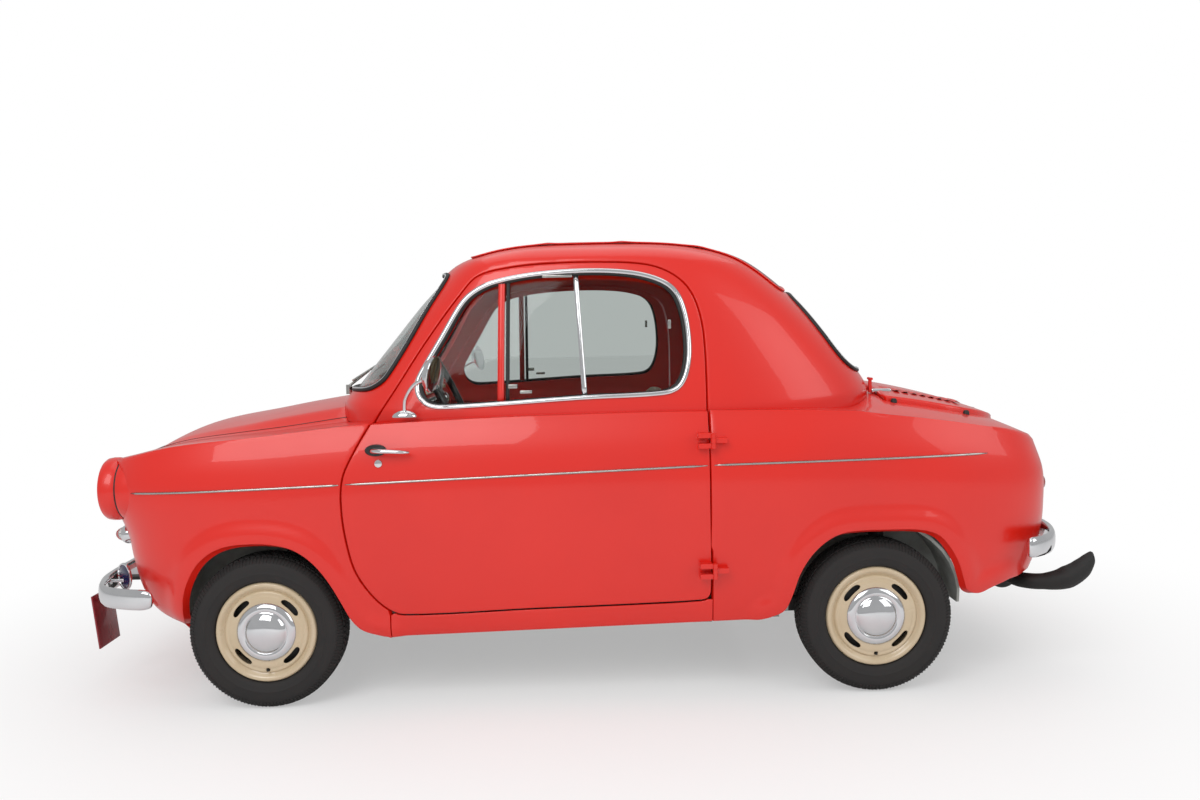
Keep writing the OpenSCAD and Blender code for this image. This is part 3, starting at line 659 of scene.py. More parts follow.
def lathe(profile: Sequence[Pair], finish: Finish, place: Matrix, sides: int) -> Piece:
    """Turns a closed profile about its own axis.

    Args:
        profile: radius and height pairs, in millimetres.
        finish: the finish it takes.
        place: where it goes, in millimetres.
        sides: steps round the axis.

    Returns:
        The turned piece.
    """
    r, z = np.array(profile, float).T
    a = np.linspace(0, 2 * math.pi, sides, endpoint=False)[:, None]
    ring = np.stack([r * np.cos(a), r * np.sin(a), np.broadcast_to(z, (sides, len(z)))], -1).reshape(-1, 3)
    turn = np.array(place)
    points = ring @ turn[:3, :3].T + turn[:3, 3]
    return sharpen(fix_normals(make_mesh(points, ribbon_faces(sides, len(z), True, True), finish)))


def sharpen(piece: Piece, degrees: float = 38.0) -> Piece:
    """Marks edges sharper than an angle so that they shade as edges.

    Args:
        piece: the part.
        degrees: the angle.

    Returns:
        The same part.
    """
    work = bmesh.new()
    work.from_mesh(piece.data)
    for edge in work.edges:
        edge.smooth = len(edge.link_faces) == 2 and edge.calc_face_angle(0) < math.radians(degrees)
    work.to_mesh(piece.data)
    work.free()
    return piece


def bevelled_box(low: Floats, high: Floats, radius: float, finish: Finish, turn: Matrix | None = None) -> Piece:
    """Makes a box with rounded edges.

    Args:
        low: lowest corner, in millimetres.
        high: highest corner, in millimetres.
        radius: edge radius.
        finish: the finish it takes.
        turn: a placing matrix in millimetres, applied last.

    Returns:
        The box.
    """
    work = bmesh.new()
    bmesh.ops.create_cube(work, size=1)
    lo, hi = Vector(low), Vector(high)
    for v in work.verts:
        v.co = Vector([lo[i] + (v.co[i] + 0.5) * (hi[i] - lo[i]) for i in range(3)])
    bmesh.ops.bevel(work, geom=list(work.edges), offset=radius, segments=3, profile=0.6, affect="EDGES")
    if turn is not None:
        bmesh.ops.transform(work, matrix=turn, verts=work.verts)
    bmesh.ops.scale(work, vec=(MM, MM, MM), verts=work.verts)
    bmesh.ops.recalc_face_normals(work, faces=work.faces)
    mesh = bpy.data.meshes.new("part")
    work.to_mesh(mesh)
    work.free()
    mesh.polygons.foreach_set("use_smooth", [True] * len(mesh.polygons))
    mesh.materials.append(finish.build())
    return sharpen(placed("part", mesh), 50)


def prism(outline: Array, half_width: float, bevel: float, finish: Finish) -> Piece:
    """Extrudes a side-view outline across the car.

    Args:
        outline: x and z of each corner.
        half_width: reach to either side.
        bevel: edge radius.
        finish: the finish it takes.

    Returns:
        The bevelled prism.
    """
    n = len(outline)
    points = np.vstack([np.c_[outline[:, 0], np.full(n, y), outline[:, 1]] for y in (-half_width, half_width)])
    faces = [tuple(range(n)), tuple(range(n, 2 * n))[::-1]]
    faces += [(i, n + i, n + (i + 1) % n, (i + 1) % n) for i in range(n)]
    piece = fix_normals(make_mesh(points, faces, finish))
    work = bmesh.new()
    work.from_mesh(piece.data)
    rim = [e for e in work.edges if e.calc_face_angle(0) > 1.2]
    bmesh.ops.bevel(work, geom=rim, offset=bevel * MM, segments=2, profile=0.6, affect="EDGES")
    work.to_mesh(piece.data)
    work.free()
    return sharpen(piece)


@dataclass
class Panel:
    """A pressed panel cut from a smooth surface, with a folded edge all round.

    Attributes:
        outer: gives the outside of the panel at each pair of parameters.
        inner: gives its inside.
        u: first parameter's steps.
        v: second parameter's steps.
        trims: the cuts.
        finish: outside finish.
        lining: inside finish.
        edge: radius of the folded edge.
        draft: how far the inside's rim stands back.
        closed: whether the first parameter runs right round.
        loops: the finished panel's rims, each as places and normals.
    """

    outer: Surface
    inner: Surface
    u: Array
    v: Array
    trims: list[Trim]
    finish: Finish
    lining: Finish | None = None
    edge: float = 1.6
    draft: float = 0.0
    closed: bool = False
    loops: list[tuple[Array, Array]] = field(default_factory=list)

    def _place(self, i: Array, j: Array) -> Array:
        """Returns the outside at fractional cell numbers."""
        if self.closed:
            i = np.mod(i, len(self.u) - 1)
        return self.outer(np.interp(i, np.arange(len(self.u)), self.u),
            np.interp(j, np.arange(len(self.v)), self.v))

    def _room(self, i: Array, j: Array) -> Array:
        """Measures the distance to the nearest cut.

        Args:
            i: first fractional cell numbers.
            j: second ones.

        Returns:
            A distance for each.
        """
        p = self._place(i, j)
        room = np.full(len(p), FAR)
        for trim in self.trims:
            room = np.minimum(room, trim.room(p))
        return room

    def _snap(self, i: Array, j: Array, free_i: Array, free_j: Array) -> tuple[Array, Array]:
        """Moves rim corners onto the nearest cut, by little more than a cell.

        Args:
            i: first cell number of each corner.
            j: second cell number.
            free_i: 1 where the corner may move along i.
            free_j: 1 where it may move along j.

        Returns:
            The new fractional cell numbers.
        """
        start_i, start_j, h = i.copy(), j.copy(), 0.04
        for _ in range(5):
            now = self._room(i, j)
            back_i = np.where(i > len(self.u) - 2, -h, h) if not self.closed else h
            back_j = np.where(j > len(self.v) - 2, -h, h)
            slope_i = (self._room(i + back_i, j) - now) / back_i * free_i
            slope_j = (self._room(i, j + back_j) - now) / back_j * free_j
            move = np.where(np.abs(now) < 50, -now / np.maximum(slope_i**2 + slope_j**2, 1.0), 0)
            i = np.clip(i + move * slope_i, start_i - 1.3, start_i + 1.3)
            j = np.clip(j + move * slope_j, start_j - 1.3, start_j + 1.3)
            i = i if self.closed else np.clip(i, 0, len(self.u) - 1)
            j = np.clip(j, 0, len(self.v) - 1)
        return i, j

    def build(self) -> Piece:
        """Makes the panel and keeps its rims in loops.

        Returns:
            The panel, as a closed shell.
        """
        nu, nv = len(self.u), len(self.v)
        rows = nu - 1 if self.closed else nu
        mid_i, mid_j = (g.ravel() for g in np.meshgrid(np.arange(nu - 1) + 0.5, np.arange(nv - 1) + 0.5,
            indexing="ij"))
        keep = self._tidy((self._room(mid_i, mid_j) > 0).reshape(nu - 1, nv - 1), self.closed)
        i, j = np.nonzero(keep)
        k = (i + 1) % rows
        quads = np.c_[i * nv + j, k * nv + j, k * nv + j + 1, i * nv + j + 1]
        edges = np.vstack([quads[:, [c, (c + 1) % 4]] for c in range(4)])
        keys = np.sort(edges, 1)
        _, first, count = np.unique(keys[:, 0] * nu * nv + keys[:, 1], return_index=True, return_counts=True)
        rim = edges[first[count == 1]]
        corners = np.unique(rim)
        used = np.unique(quads)
        at_i, at_j = (used // nv).astype(float), (used % nv).astype(float)
        number = np.full(nu * nv, -1)
        number[used] = np.arange(len(used))
        if self.trims:
            c = number[corners]
            edge_i = ~((at_i[c] == 0) | (at_i[c] == nu - 1)) | self.closed
            edge_j = ~((at_j[c] == 0) | (at_j[c] == nv - 1))
            at_i[c], at_j[c] = self._snap(at_i[c], at_j[c], edge_i.astype(float), edge_j.astype(float))
        out = self._place(at_i, at_j)
        wrapped = np.mod(at_i, nu - 1) if self.closed else at_i
        inn = self.inner(np.interp(wrapped, np.arange(nu), self.u), np.interp(at_j, np.arange(nv), self.v))
        quads, rim = number[quads], number[rim]
        cross = np.cross(out[quads[:, 2]] - out[quads[:, 0]], out[quads[:, 3]] - out[quads[:, 1]])
        normal = np.zeros_like(out)
        for c in range(4):
            np.add.at(normal, quads[:, c], cross)
        normal /= np.maximum(np.linalg.norm(normal, axis=1, keepdims=True), 1e-9)
        if np.median(((out - inn) * normal).sum(1)) < 0:
            normal, quads, rim = -normal, quads[:, ::-1], rim[:, ::-1]
        outward = np.zeros_like(out)
        for a, b in rim:
            d = out[b] - out[a]
            outward[a] += np.cross(d, normal[a])
            outward[b] += np.cross(d, normal[b])
        length = np.linalg.norm(outward, axis=1, keepdims=True)
        outward = np.where(length > 1e-9, outward / np.maximum(length, 1e-9), 0)
        n, e = len(out), self.edge
        rims = np.unique(rim)
        m = len(rims)
        top, low = out.copy(), inn.copy()
        top[rims] -= e * outward[rims]
        low[rims] -= self.draft * outward[rims]
        rings = [out[rims] - e * outward[rims] - e * normal[rims] + e
            * (math.sin(a) * outward[rims] + math.cos(a) * normal[rims]) for a in (math.pi / 4, math.pi / 2)]
        points = np.vstack([top, low, *rings])
        order = np.full(n, -1)
        order[rims] = np.arange(m)
        faces = quads.tolist() + (quads[:, ::-1] + n).tolist()
        for a, b in rim:
            chain_a = [a, 2 * n + order[a], 2 * n + m + order[a], n + a]
            chain_b = [b, 2 * n + order[b], 2 * n + m + order[b], n + b]
            faces += [[chain_b[c], chain_a[c], chain_a[c + 1], chain_b[c + 1]] for c in range(3)]
        piece = make_mesh(points, faces, self.finish)
        if self.lining is not None:
            piece.data.materials.append(self.lining.build())
            index = np.zeros(len(faces), int)
            index[len(quads) : 2 * len(quads)] = 1
            piece.data.polygons.foreach_set("material_index", index)
        sharpen(piece, 50)
        self.loops = self._order_loops(rim, out, normal)
        return piece

    @staticmethod
    def _tidy(keep: Array, closed: bool) -> Array:
        """Drops cells that hang on by one side, and fills pits between three.

        Args:
            keep: which cells stay.
            closed: whether the first row joins the last.

        Returns:
            The cells that stay.
        """
        for least, mode in ((2, "constant"), (3, "edge"), (2, "constant")):
            padded = np.pad(keep, ((0, 0), (1, 1)), mode=mode)
            padded = np.pad(padded, ((1, 1), (0, 0)), mode="wrap" if closed else mode).astype(int)
            beside = padded[:-2, 1:-1] + padded[2:, 1:-1] + padded[1:-1, :-2] + padded[1:-1, 2:]
            keep = keep & (beside >= least) if least == 2 else keep | (beside >= 4)
        return keep

    @staticmethod
    def _order_loops(rim: Array, out: Array, normal: Array) -> list[tuple[Array, Array]]:
        """Follows the rim's edges into loops.

        Args:
            rim: corner numbers at the ends of each edge.
            out: corner places.
            normal: corner normals.

        Returns:
            Places and normals of each loop, longest first.
        """
        following = {int(a): int(b) for a, b in rim}
        loops = []
        while following:
            start, now = next(iter(following.items()))
            chain = [start]
            del following[start]
            while now in following:
                chain.append(now)
                now = following.pop(now)
            if len(chain) > 8:
                loops.append((out[chain], normal[chain]))
        return sorted(loops, key=lambda loop: -len(loop[0]))


def smoothed(loop: Array, rounds: int = 3) -> Array:
    """Returns a closed loop with its small steps averaged out."""
    for _ in range(rounds):
        loop = 0.25 * np.roll(loop, 1, 0) + 0.5 * loop + 0.25 * np.roll(loop, -1, 0)
    return loop


def evened(loop: Array, step: float) -> Array:
    """Returns a closed loop resampled at even steps."""
    closed = np.vstack([loop, loop[:1]])
    run = np.r_[0, np.cumsum(np.linalg.norm(np.diff(closed, axis=0), axis=1))]
    at = np.linspace(0, run[-1], max(8, int(run[-1] / step)), endpoint=False)
    return np.stack([np.interp(at, run, closed[:, k]) for k in range(3)], 1)


# ---- repeats


def repeats(unit: Piece, count: int, finish: Finish, step: Floats = (0, 0, 0), turn: Floats = (0, 0, 0),
        origin: Floats = (0, 0, 0)) -> Piece:
    """Repeats one small piece along a line or round an axis with Geometry Nodes.

    Args:
        unit: the piece to repeat, drawn about the origin; it is used up.
        count: how many there are.
        finish: the finish they take.
        step: move from one to the next, in millimetres.
        turn: turn from one to the next, in degrees.
        origin: place of the first one, in millimetres.

    Returns:
        A plain mesh object.
    """
    tree = bpy.data.node_groups.new("Repeat", "GeometryNodeTree")
    kinds = {"Unit": "NodeSocketObject", "Count": "NodeSocketInt", "Step": "NodeSocketVector",
        "Turn": "NodeSocketVector", "Origin": "NodeSocketVector", "Finish": "NodeSocketMaterial"}
    tree.interface.new_socket("Geometry", in_out="OUTPUT", socket_type="NodeSocketGeometry")
    sockets = {key: tree.interface.new_socket(key, in_out="INPUT", socket_type=kind) for key,
        kind in kinds.items()}
    given = add_node(tree, "NodeGroupInput").outputs
    index = add_node(tree, "GeometryNodeInputIndex").outputs[0]
    move = add_node(tree, "ShaderNodeVectorMath", {0: given["Step"]}, operation="SCALE")
    tree.links.new(index, move.inputs["Scale"])
    place = add_node(tree, "ShaderNodeVectorMath", {0: given["Origin"], 1: move.outputs[0]}, operation="ADD")
    spin = add_node(tree, "ShaderNodeVectorMath", {0: given["Turn"]}, operation="SCALE")
    tree.links.new(index, spin.inputs["Scale"])
    points = add_node(tree, "GeometryNodePoints", {"Count": given["Count"], "Position": place.outputs[0]})
    shape = add_node(tree, "GeometryNodeObjectInfo", {"Object": given["Unit"]})
    copies = add_node(tree, "GeometryNodeInstanceOnPoints",
        {"Points": points.outputs[0], "Instance": shape.outputs["Geometry"], "Rotation": spin.outputs[0]})
    real = add_node(tree, "GeometryNodeRealizeInstances", {"Geometry": copies.outputs[0]})
    dressed = add_node(tree, "GeometryNodeSetMaterial",
        {"Geometry": real.outputs[0], "Material": given["Finish"]})
    add_node(tree, "NodeGroupOutput", {"Geometry": dressed.outputs[0]})
    carrier = make_mesh(np.zeros((1, 3)), [], finish)
    modifier = carrier.modifiers.new("Repeat", "NODES")
    modifier.node_group = tree
    values = {"Unit": unit, "Count": count, "Step": [s * MM for s in step],
        "Turn": [math.radians(a) for a in turn], "Origin": [o * MM for o in origin], "Finish": finish.build()}
    for key, value in values.items():
        modifier[sockets[key].identifier] = value
    carrier.update_tag()
    bpy.context.view_layer.update()
    mesh = bpy.data.meshes.new_from_object(carrier.evaluated_get(bpy.context.evaluated_depsgraph_get()))
    discard((carrier, unit))
    return placed("part", mesh)


# ---- the body's shape

# Half width against share of the height from sill to shoulder, and the nose and the tail likewise.
FLANK = Curve([(0, 586), (0.07, 603), (0.2, 617), (0.4, 628), (0.6, 634), (0.72, 635), (0.86, 626), (1, 602)])
NOSE = Curve([(0, -1190), (0.06, -1217), (0.1, -1255), (0.15, -1283), (0.21, -1300), (0.3, -1314),
    (0.45, -1326), (0.55, -1331), (0.65, -1345), (0.75, -1368), (0.85, -1382), (0.95, -1380), (1, -1370)])
TAIL = Curve([(0, 1262), (0.1, 1305), (0.25, 1345), (0.5, 1371), (0.67, 1374), (0.85, 1370), (1, 1345)])
# Heights along the car: the shoulder, the bonnet's middle and the rear deck's middle.
SHOULDER = Curve([(-1380, 664), (-1340, 684), (-1293, 696), (-1118, 733), (-862, 757), (-620, 781), (-300, 794),
    (0, 799), (300, 800), (743, 788), (900, 772), (1082, 745), (1211, 718), (1330, 676), (1380, 650)])
BONNET = Curve([(-1390, 662), (-1340, 686), (-1284, 703), (-1259, 720), (-1195, 751), (-1132, 768),
    (-1000, 790), (-880, 811), (-700, 838), (-620, 850)])
REAR_DECK = Curve([(820, 842), (980, 816), (1107, 786), (1225, 748), (1300, 712), (1380, 655)])
SHOULDER_RING = (-1370, 1345, 602, 7, 6)
# Superellipse powers of the cabin's front and rear half, and how its top crowns towards the middle.
CABIN_POWERS = (4.6, 4.0)
CROWN_POWER = 2.2
BELT_RING = (-712, 878, 580, *CABIN_POWERS)
SILL_Z = 180
# Cabin rows from belt to roof: front x and z, half width and its z, rear x and z.
CABIN_ROWS = ((-712, 836, 580, 800, 878, 846), (-655, 905, 568, 885, 838, 905),
    (-568, 1010, 550, 990, 752, 1010), (-480, 1115, 530, 1100, 655, 1110), (-396, 1205, 503, 1205, 560, 1190),
    (-338, 1240, 482, 1243, 485, 1234), (-255, 1263, 432, 1268, 395, 1262), (-150, 1279, 330, 1283, 280, 1280),
    (-20, 1288, 170, 1290, 160, 1289))
CABIN = tuple(Curve([(g, row[k]) for g, row in enumerate(CABIN_ROWS)]) for k in range(6))

DOOR = Outline(round_off([(-572, 790), (-620, 708), (-650, 640), (-655, 556), (-646, 469), (-626, 387),
    (-588, 322), (-543, 277), (-500, 260), (-144, 268), (120, 273), (312, 279), (337, 285), (345, 306),
    (345, 550), (345, 800), (343, 996), (329, 1084), (300, 1145), (247, 1187), (180, 1208), (60, 1216),
    (-80, 1215), (-190, 1206), (-282, 1184), (-330, 1135), (-426, 1008), (-510, 882)], steps=6))
WINDOW = Outline(round_off([(-455, 890), (-446, 851), (-418, 829), (-370, 825), (3, 843), (233, 851),
    (273, 868), (297, 924), (302, 998), (290, 1085), (264, 1139), (211, 1170), (131, 1188), (11, 1194),
    (-122, 1187), (-230, 1169), (-283, 1148), (-324, 1115), (-380, 1024), (-440, 924)], steps=6))
FRONT_LIP = round_off([(-1123, 268), (-1114, 315), (-1094, 363), (-1063, 410), (-1020, 445), (-972, 463),
    (-907, 469), (-843, 465), (-790, 449), (-745, 416), (-705, 365), (-672, 304), (-645, 248), (-616, 216),
    (-560, 196)], closed=False, steps=4)
REAR_LIP = round_off([(505, 222), (547, 241), (569, 284), (591, 348), (627, 405), (678, 447), (730, 463),
    (835, 465), (930, 460), (978, 442), (1014, 402), (1039, 358), (1055, 314), (1070, 278), (1107, 264),
    (1150, 278), (1210, 296)], closed=False, steps=4)
FRONT_ARCH = Outline(np.vstack([[(-1260, 100), (-1260, 190), (-1168, 212), (-1135, 222), (-1125, 245)],
    FRONT_LIP, [(-540, 193), (-540, 100)]]))
REAR_ARCH = Outline(np.vstack([[(480, 100), (480, 217)], REAR_LIP, [(1400, 312), (1400, 100)]]))
SILL_LINE = Outline(np.array([(-700, 100), (-700, 193), (-540, 193), (480, 217), (640, 222), (640, 100)],
    float))
LID = Outline(
    np.vstack([[(892, -395), (892, 395)],
    [(1060 + 255 * math.cos(a), 395 * math.sin(a)) for a in np.linspace(math.pi / 2, -math.pi / 2, 49)]]))
SHUT_GAP = 5
SKIN = 16
FRONT_SPLIT, REAR_SPLIT = -540, 352
LAMP_PLACE = (470, 608)
AXLES = {"front": -885.0, "rear": 808.0}
HALF_TRACK = 548.0
TYRE_RADIUS = 215.0


def plan(t: Array, ring: Sequence[Array | float]) -> tuple[Array, Array]:
    """Draws a superellipse whose front and rear halves differ.

    Args:
        t: angles.
        ring: front reach, rear reach, half width, front and rear power.

    Returns:
        x and y at each angle.
    """
    a_front, a_rear, half, n_front, n_rear = ring
    c, s = np.cos(t), np.sin(t)
    n = np.where(c < 0, n_front, n_rear)
    r = (np.abs(c) ** n + np.abs(s) ** n) ** (-1 / n)
    return np.where(c < 0, -np.asarray(a_front, float), a_rear) * c * r, half * s * r


def _arc_table() -> tuple[Array, Array, float]:
    """Returns angles, share of the way round the shoulder at each, and the whole way in millimetres."""
    t = np.linspace(0, 2 * math.pi, 4001)
    x, y = plan(t, SHOULDER_RING)
    run = np.r_[0, np.cumsum(np.hypot(np.diff(x), np.diff(y)))]
    return t, run / run[-1], run[-1]


ARC_T, ARC_SHARE, ARC_LENGTH = _arc_table()


def angle(u: Array) -> Array:
    """Returns the plan angle at share u of the way round."""
    return np.interp(np.mod(u, 1), ARC_SHARE, ARC_T)


def share_at(x: float) -> float:
    """Returns the share of the way round at which the right flank reaches x."""
    t = ARC_T[:2001]
    return float(np.interp(-x, -plan(t, SHOULDER_RING)[0], ARC_SHARE[:2001]))


def around(start: float, end: float, cell: float) -> Array:
    """Returns even steps between two shares of the way round."""
    return np.linspace(start, end, max(4, int(abs(end - start) * ARC_LENGTH / cell)) + 1)


def deck_z(x: Array, y: Array) -> Array:
    """Gives the deck's height.

    Args:
        x: places along the car.
        y: places across it.

    Returns:
        A height for each place.
    """
    w = np.abs(y)
    crest = SHOULDER(x)
    bonnet = mix(BONNET(x) - 26 * (w / 390) ** 2, crest + 2, ease((w - 345) / 85))
    tail = crest + (REAR_DECK(x) - crest) * np.maximum(0, 1 - (w / 560) ** 2)
    return np.where(x < 0, mix(bonnet, crest + 3, ease((x + 700) / 120)),
        mix(crest + 3, tail, ease((x - 740) / 120)))


def lower_shell(t: Array, k: Array, inset: Array) -> Array:
    """Returns places on the skin between sill and shoulder."""
    ring = (NOSE(k) + inset, TAIL(k) - inset, FLANK(k) - inset, mix(5.5, 7, k), mix(5, 6, k))
    x, y = plan(t, ring)
    return np.stack([x, y, SILL_Z + (SHOULDER(x) - inset - SILL_Z) * k], -1)


def deck_shell(t: Array, m: Array, inset: Array) -> Array:
    """Returns places on the deck between the shoulder and the cabin's foot."""
    ring = [mix(a, b, m) for a, b in zip(SHOULDER_RING, BELT_RING)]
    x, y = plan(t, (ring[0] + inset, ring[1] - inset, ring[2] - inset, ring[3], ring[4]))
    return np.stack([x, y, deck_z(x, y) - inset], -1)


def cabin_shell(t: Array, g: Array, inset: Array) -> Array:
    """Places points on the cabin; rows below 0 sink straight down.

    Args:
        t: plan angles.
        g: row numbers, 0 at the belt.
        inset: depths below the outside.

    Returns:
        The places.
    """
    row = [curve(np.clip(g, 0, 8)) for curve in CABIN]
    x, y = plan(t, (row[0] + inset, row[4] - inset, row[2] - inset, *CABIN_POWERS))
    reach = np.where(x < 0, x / (row[0] + inset), x / (row[4] - inset))
    z = mix(row[3], np.where(x < 0, row[1], row[5]), np.clip(reach, 0, 1) ** CROWN_POWER)
    return np.stack([x, y, z + 40 * np.minimum(g, 0) - np.where(g > 3, inset * np.clip(g - 3, 0, 1), 0)], -1)


def lip(p: Array) -> Array:
    """Raises the soft flare that follows each wheel arch.

    Args:
        p: places on the skin.

    Returns:
        How far each is raised.
    """
    raised = np.zeros(len(p))
    for line in (FRONT_LIP[::2], REAR_LIP[::2]):
        low, high = line.min(0) - 90, line.max(0) + 90
        near = ((p[:, [0, 2]] > low) & (p[:, [0, 2]] < high)).all(1) & (np.abs(p[:, 1]) > 440)
        q = p[near][:, [0, 2]]
        if not len(q):
            continue
        raised[near] = np.maximum(raised[near], 11.0 * (1 - ease((distance_to(line, q) - 24) / 44)))
    return raised


@dataclass(frozen=True)
class Skin:
    """The car's whole outer surface, or a layer beneath it.

    The second parameter runs 0..1 from sill to shoulder, 1..2 over the deck and 2..10 up the cabin.

    Attributes:
        side: -1 mirrors the surface to the left.
        inset: depth below the outside of the lower body.
        upper_inset: depth below the outside of the cabin.
        flared: whether the wheel-arch lips are raised.
    """

    side: int = RIGHT
    inset: float = 0.0
    upper_inset: float | None = None
    flared: bool = True

    def __call__(self, u: Array, v: Array) -> Array:
        """Places points on the surface.

        Args:
            u: shares of the way round.
            v: rows, as the class says.

        Returns:
            The places in millimetres.
        """
        t = angle(u)
        out = np.zeros((len(u), 3))
        low, deck, high = v <= 1, (v > 1) & (v <= 2), v > 2
        upper = self.inset if self.upper_inset is None else self.upper_inset
        deep = np.where(v > 1, mix(self.inset, upper, ease(v - 1)), self.inset)
        out[low] = lower_shell(t[low], v[low], deep[low])
        out[deck] = deck_shell(t[deck], v[deck] - 1, deep[deck])
        out[high] = cabin_shell(t[high], v[high] - 2, deep[high])
        if self.flared:
            out[:, 1] += np.sign(out[:, 1]) * lip(out)
        out[:, 1] *= self.side
        return out


@dataclass(frozen=True)
class Cabin:
    """The cabin's surface alone, which starts a little below the belt."""

    side: int = RIGHT
    inset: float = 0.0

    def __call__(self, u: Array, g: Array) -> Array:
        """Returns the surface's places in millimetres."""
        out = cabin_shell(angle(u), g, np.full(len(u), self.inset))
        out[:, 1] *= self.side
        return out


def cabin_steps(low: float, high: float, cell: float) -> Array:
    """Returns row numbers about one cell apart up the cabin's side."""
    g = np.linspace(low, high, 400)
    run = np.r_[0, np.cumsum(np.hypot(np.diff(CABIN[2](g)), np.diff(CABIN[3](g) + 40 * np.minimum(g, 0))))]
    return np.interp(np.linspace(0, run[-1], max(3, int(run[-1] / cell)) + 1), run, g)


def flank_point(x: float, z: float, side: int, proud: float = 0.0) -> Array:
    """Returns the place on a flank at a height, stood proud of the skin."""
    k = (z - SILL_Z) / (SHOULDER(x) - SILL_Z)
    a, n = (-NOSE(k), mix(5.5, 7, k)) if x < 0 else (TAIL(k), mix(5, 6, k))
    y = FLANK(k) * (1 - min(0.999, abs(x / a)) ** n) ** (1 / n)
    return np.array([x, side * (y + proud + float(lip(np.array([[x, 600.0, z]]))[0])), z])


def side_word(side: int) -> str:
    """Returns a side in one word."""
    return "left" if side == LEFT else "right"


def rectangle(low_a: float, low_b: float, high_a: float, high_b: float) -> Outline:
    """Returns a plain rectangle's outline."""
    return Outline(np.array([(low_a, low_b), (high_a, low_b), (high_a, high_b), (low_a, high_b)], float))


def circle(radius: float, a: float, b: float, sides: int = 48) -> Outline:
    """Returns a round outline."""
    t = np.linspace(0, 2 * math.pi, sides, endpoint=False)
    return Outline(np.c_[a + radius * np.cos(t), b + radius * np.sin(t)])


def beyond(axis: int, value: float, above: bool = True) -> Callable[[Array], Array]:
    """Makes a test for points beyond a plane.

    Args:
        axis: number of the axis it crosses.
        value: where it crosses.
        above: whether beyond means greater.

    Returns:
        The test.
    """

    def test(p: Array) -> Array:
        """Returns whether each point is beyond."""
        return p[:, axis] > value if above else p[:, axis] < value

    return test


def outboard(p: Array) -> Array:
    """Returns whether each point is out by the wheels."""
    return np.abs(p[:, 1]) > 440


DOOR_CUT = Trim(DOOR.grown(SHUT_GAP), View.SIDE, False)
WINDSCREEN = Outline(round_off([(-500, 905), (-432, 1160), (-395, 1196), (395, 1196), (432, 1160), (500, 905),
    (470, 872), (-470, 872)][::-1], steps=10))
REAR_GLASS = Outline(round_off([(-400, 930), (-345, 1085), (-300, 1120), (300, 1120), (345, 1085), (400, 930),
    (360, 892), (-360, 892)][::-1], steps=10))
ROOF_HOLE = Outline(round_off([(-300, -370), (-270, -400), (570, -360), (600, -330), (600, 330), (570, 360),
    (-270, 400), (-300, 370)], steps=8))


# ---- bodywork


def done(name: str, parts: Sequence[Piece], replaces: Sequence[str] = (), body: str = "chassis",
        shift: Floats | None = None) -> Piece:
    """Joins parts into one piece, puts it on its body and reports it.

    Args:
        name: the piece's name.
        parts: its parts, which are used up.
        replaces: CAD nodes it stands for.
        body: the body it moves with.
        shift: a last move of its mesh, in millimetres.

    Returns:
        The piece.
    """
    piece = joined(name, parts)
    if shift is not None:
        piece.data.transform(Matrix.Translation([v * MM for v in shift]))
    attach(piece, body)
    if replaces:
        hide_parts(*replaces)
    log.info("%s: %d faces on %s", name, len(piece.data.polygons), body)
    return piece


def loop_near(loops: Sequence[tuple[Array, Array]], centre: Floats) -> tuple[Array, Array]:
    """Returns the rim whose middle lies nearest to a place, smoothed and evened."""
    centre = np.array(centre, float)
    places, normals = min(loops, key=lambda loop: np.linalg.norm(loop[0].mean(0) - centre))
    places = evened(smoothed(places, 2), 9)
    return smoothed(places, 2), normals


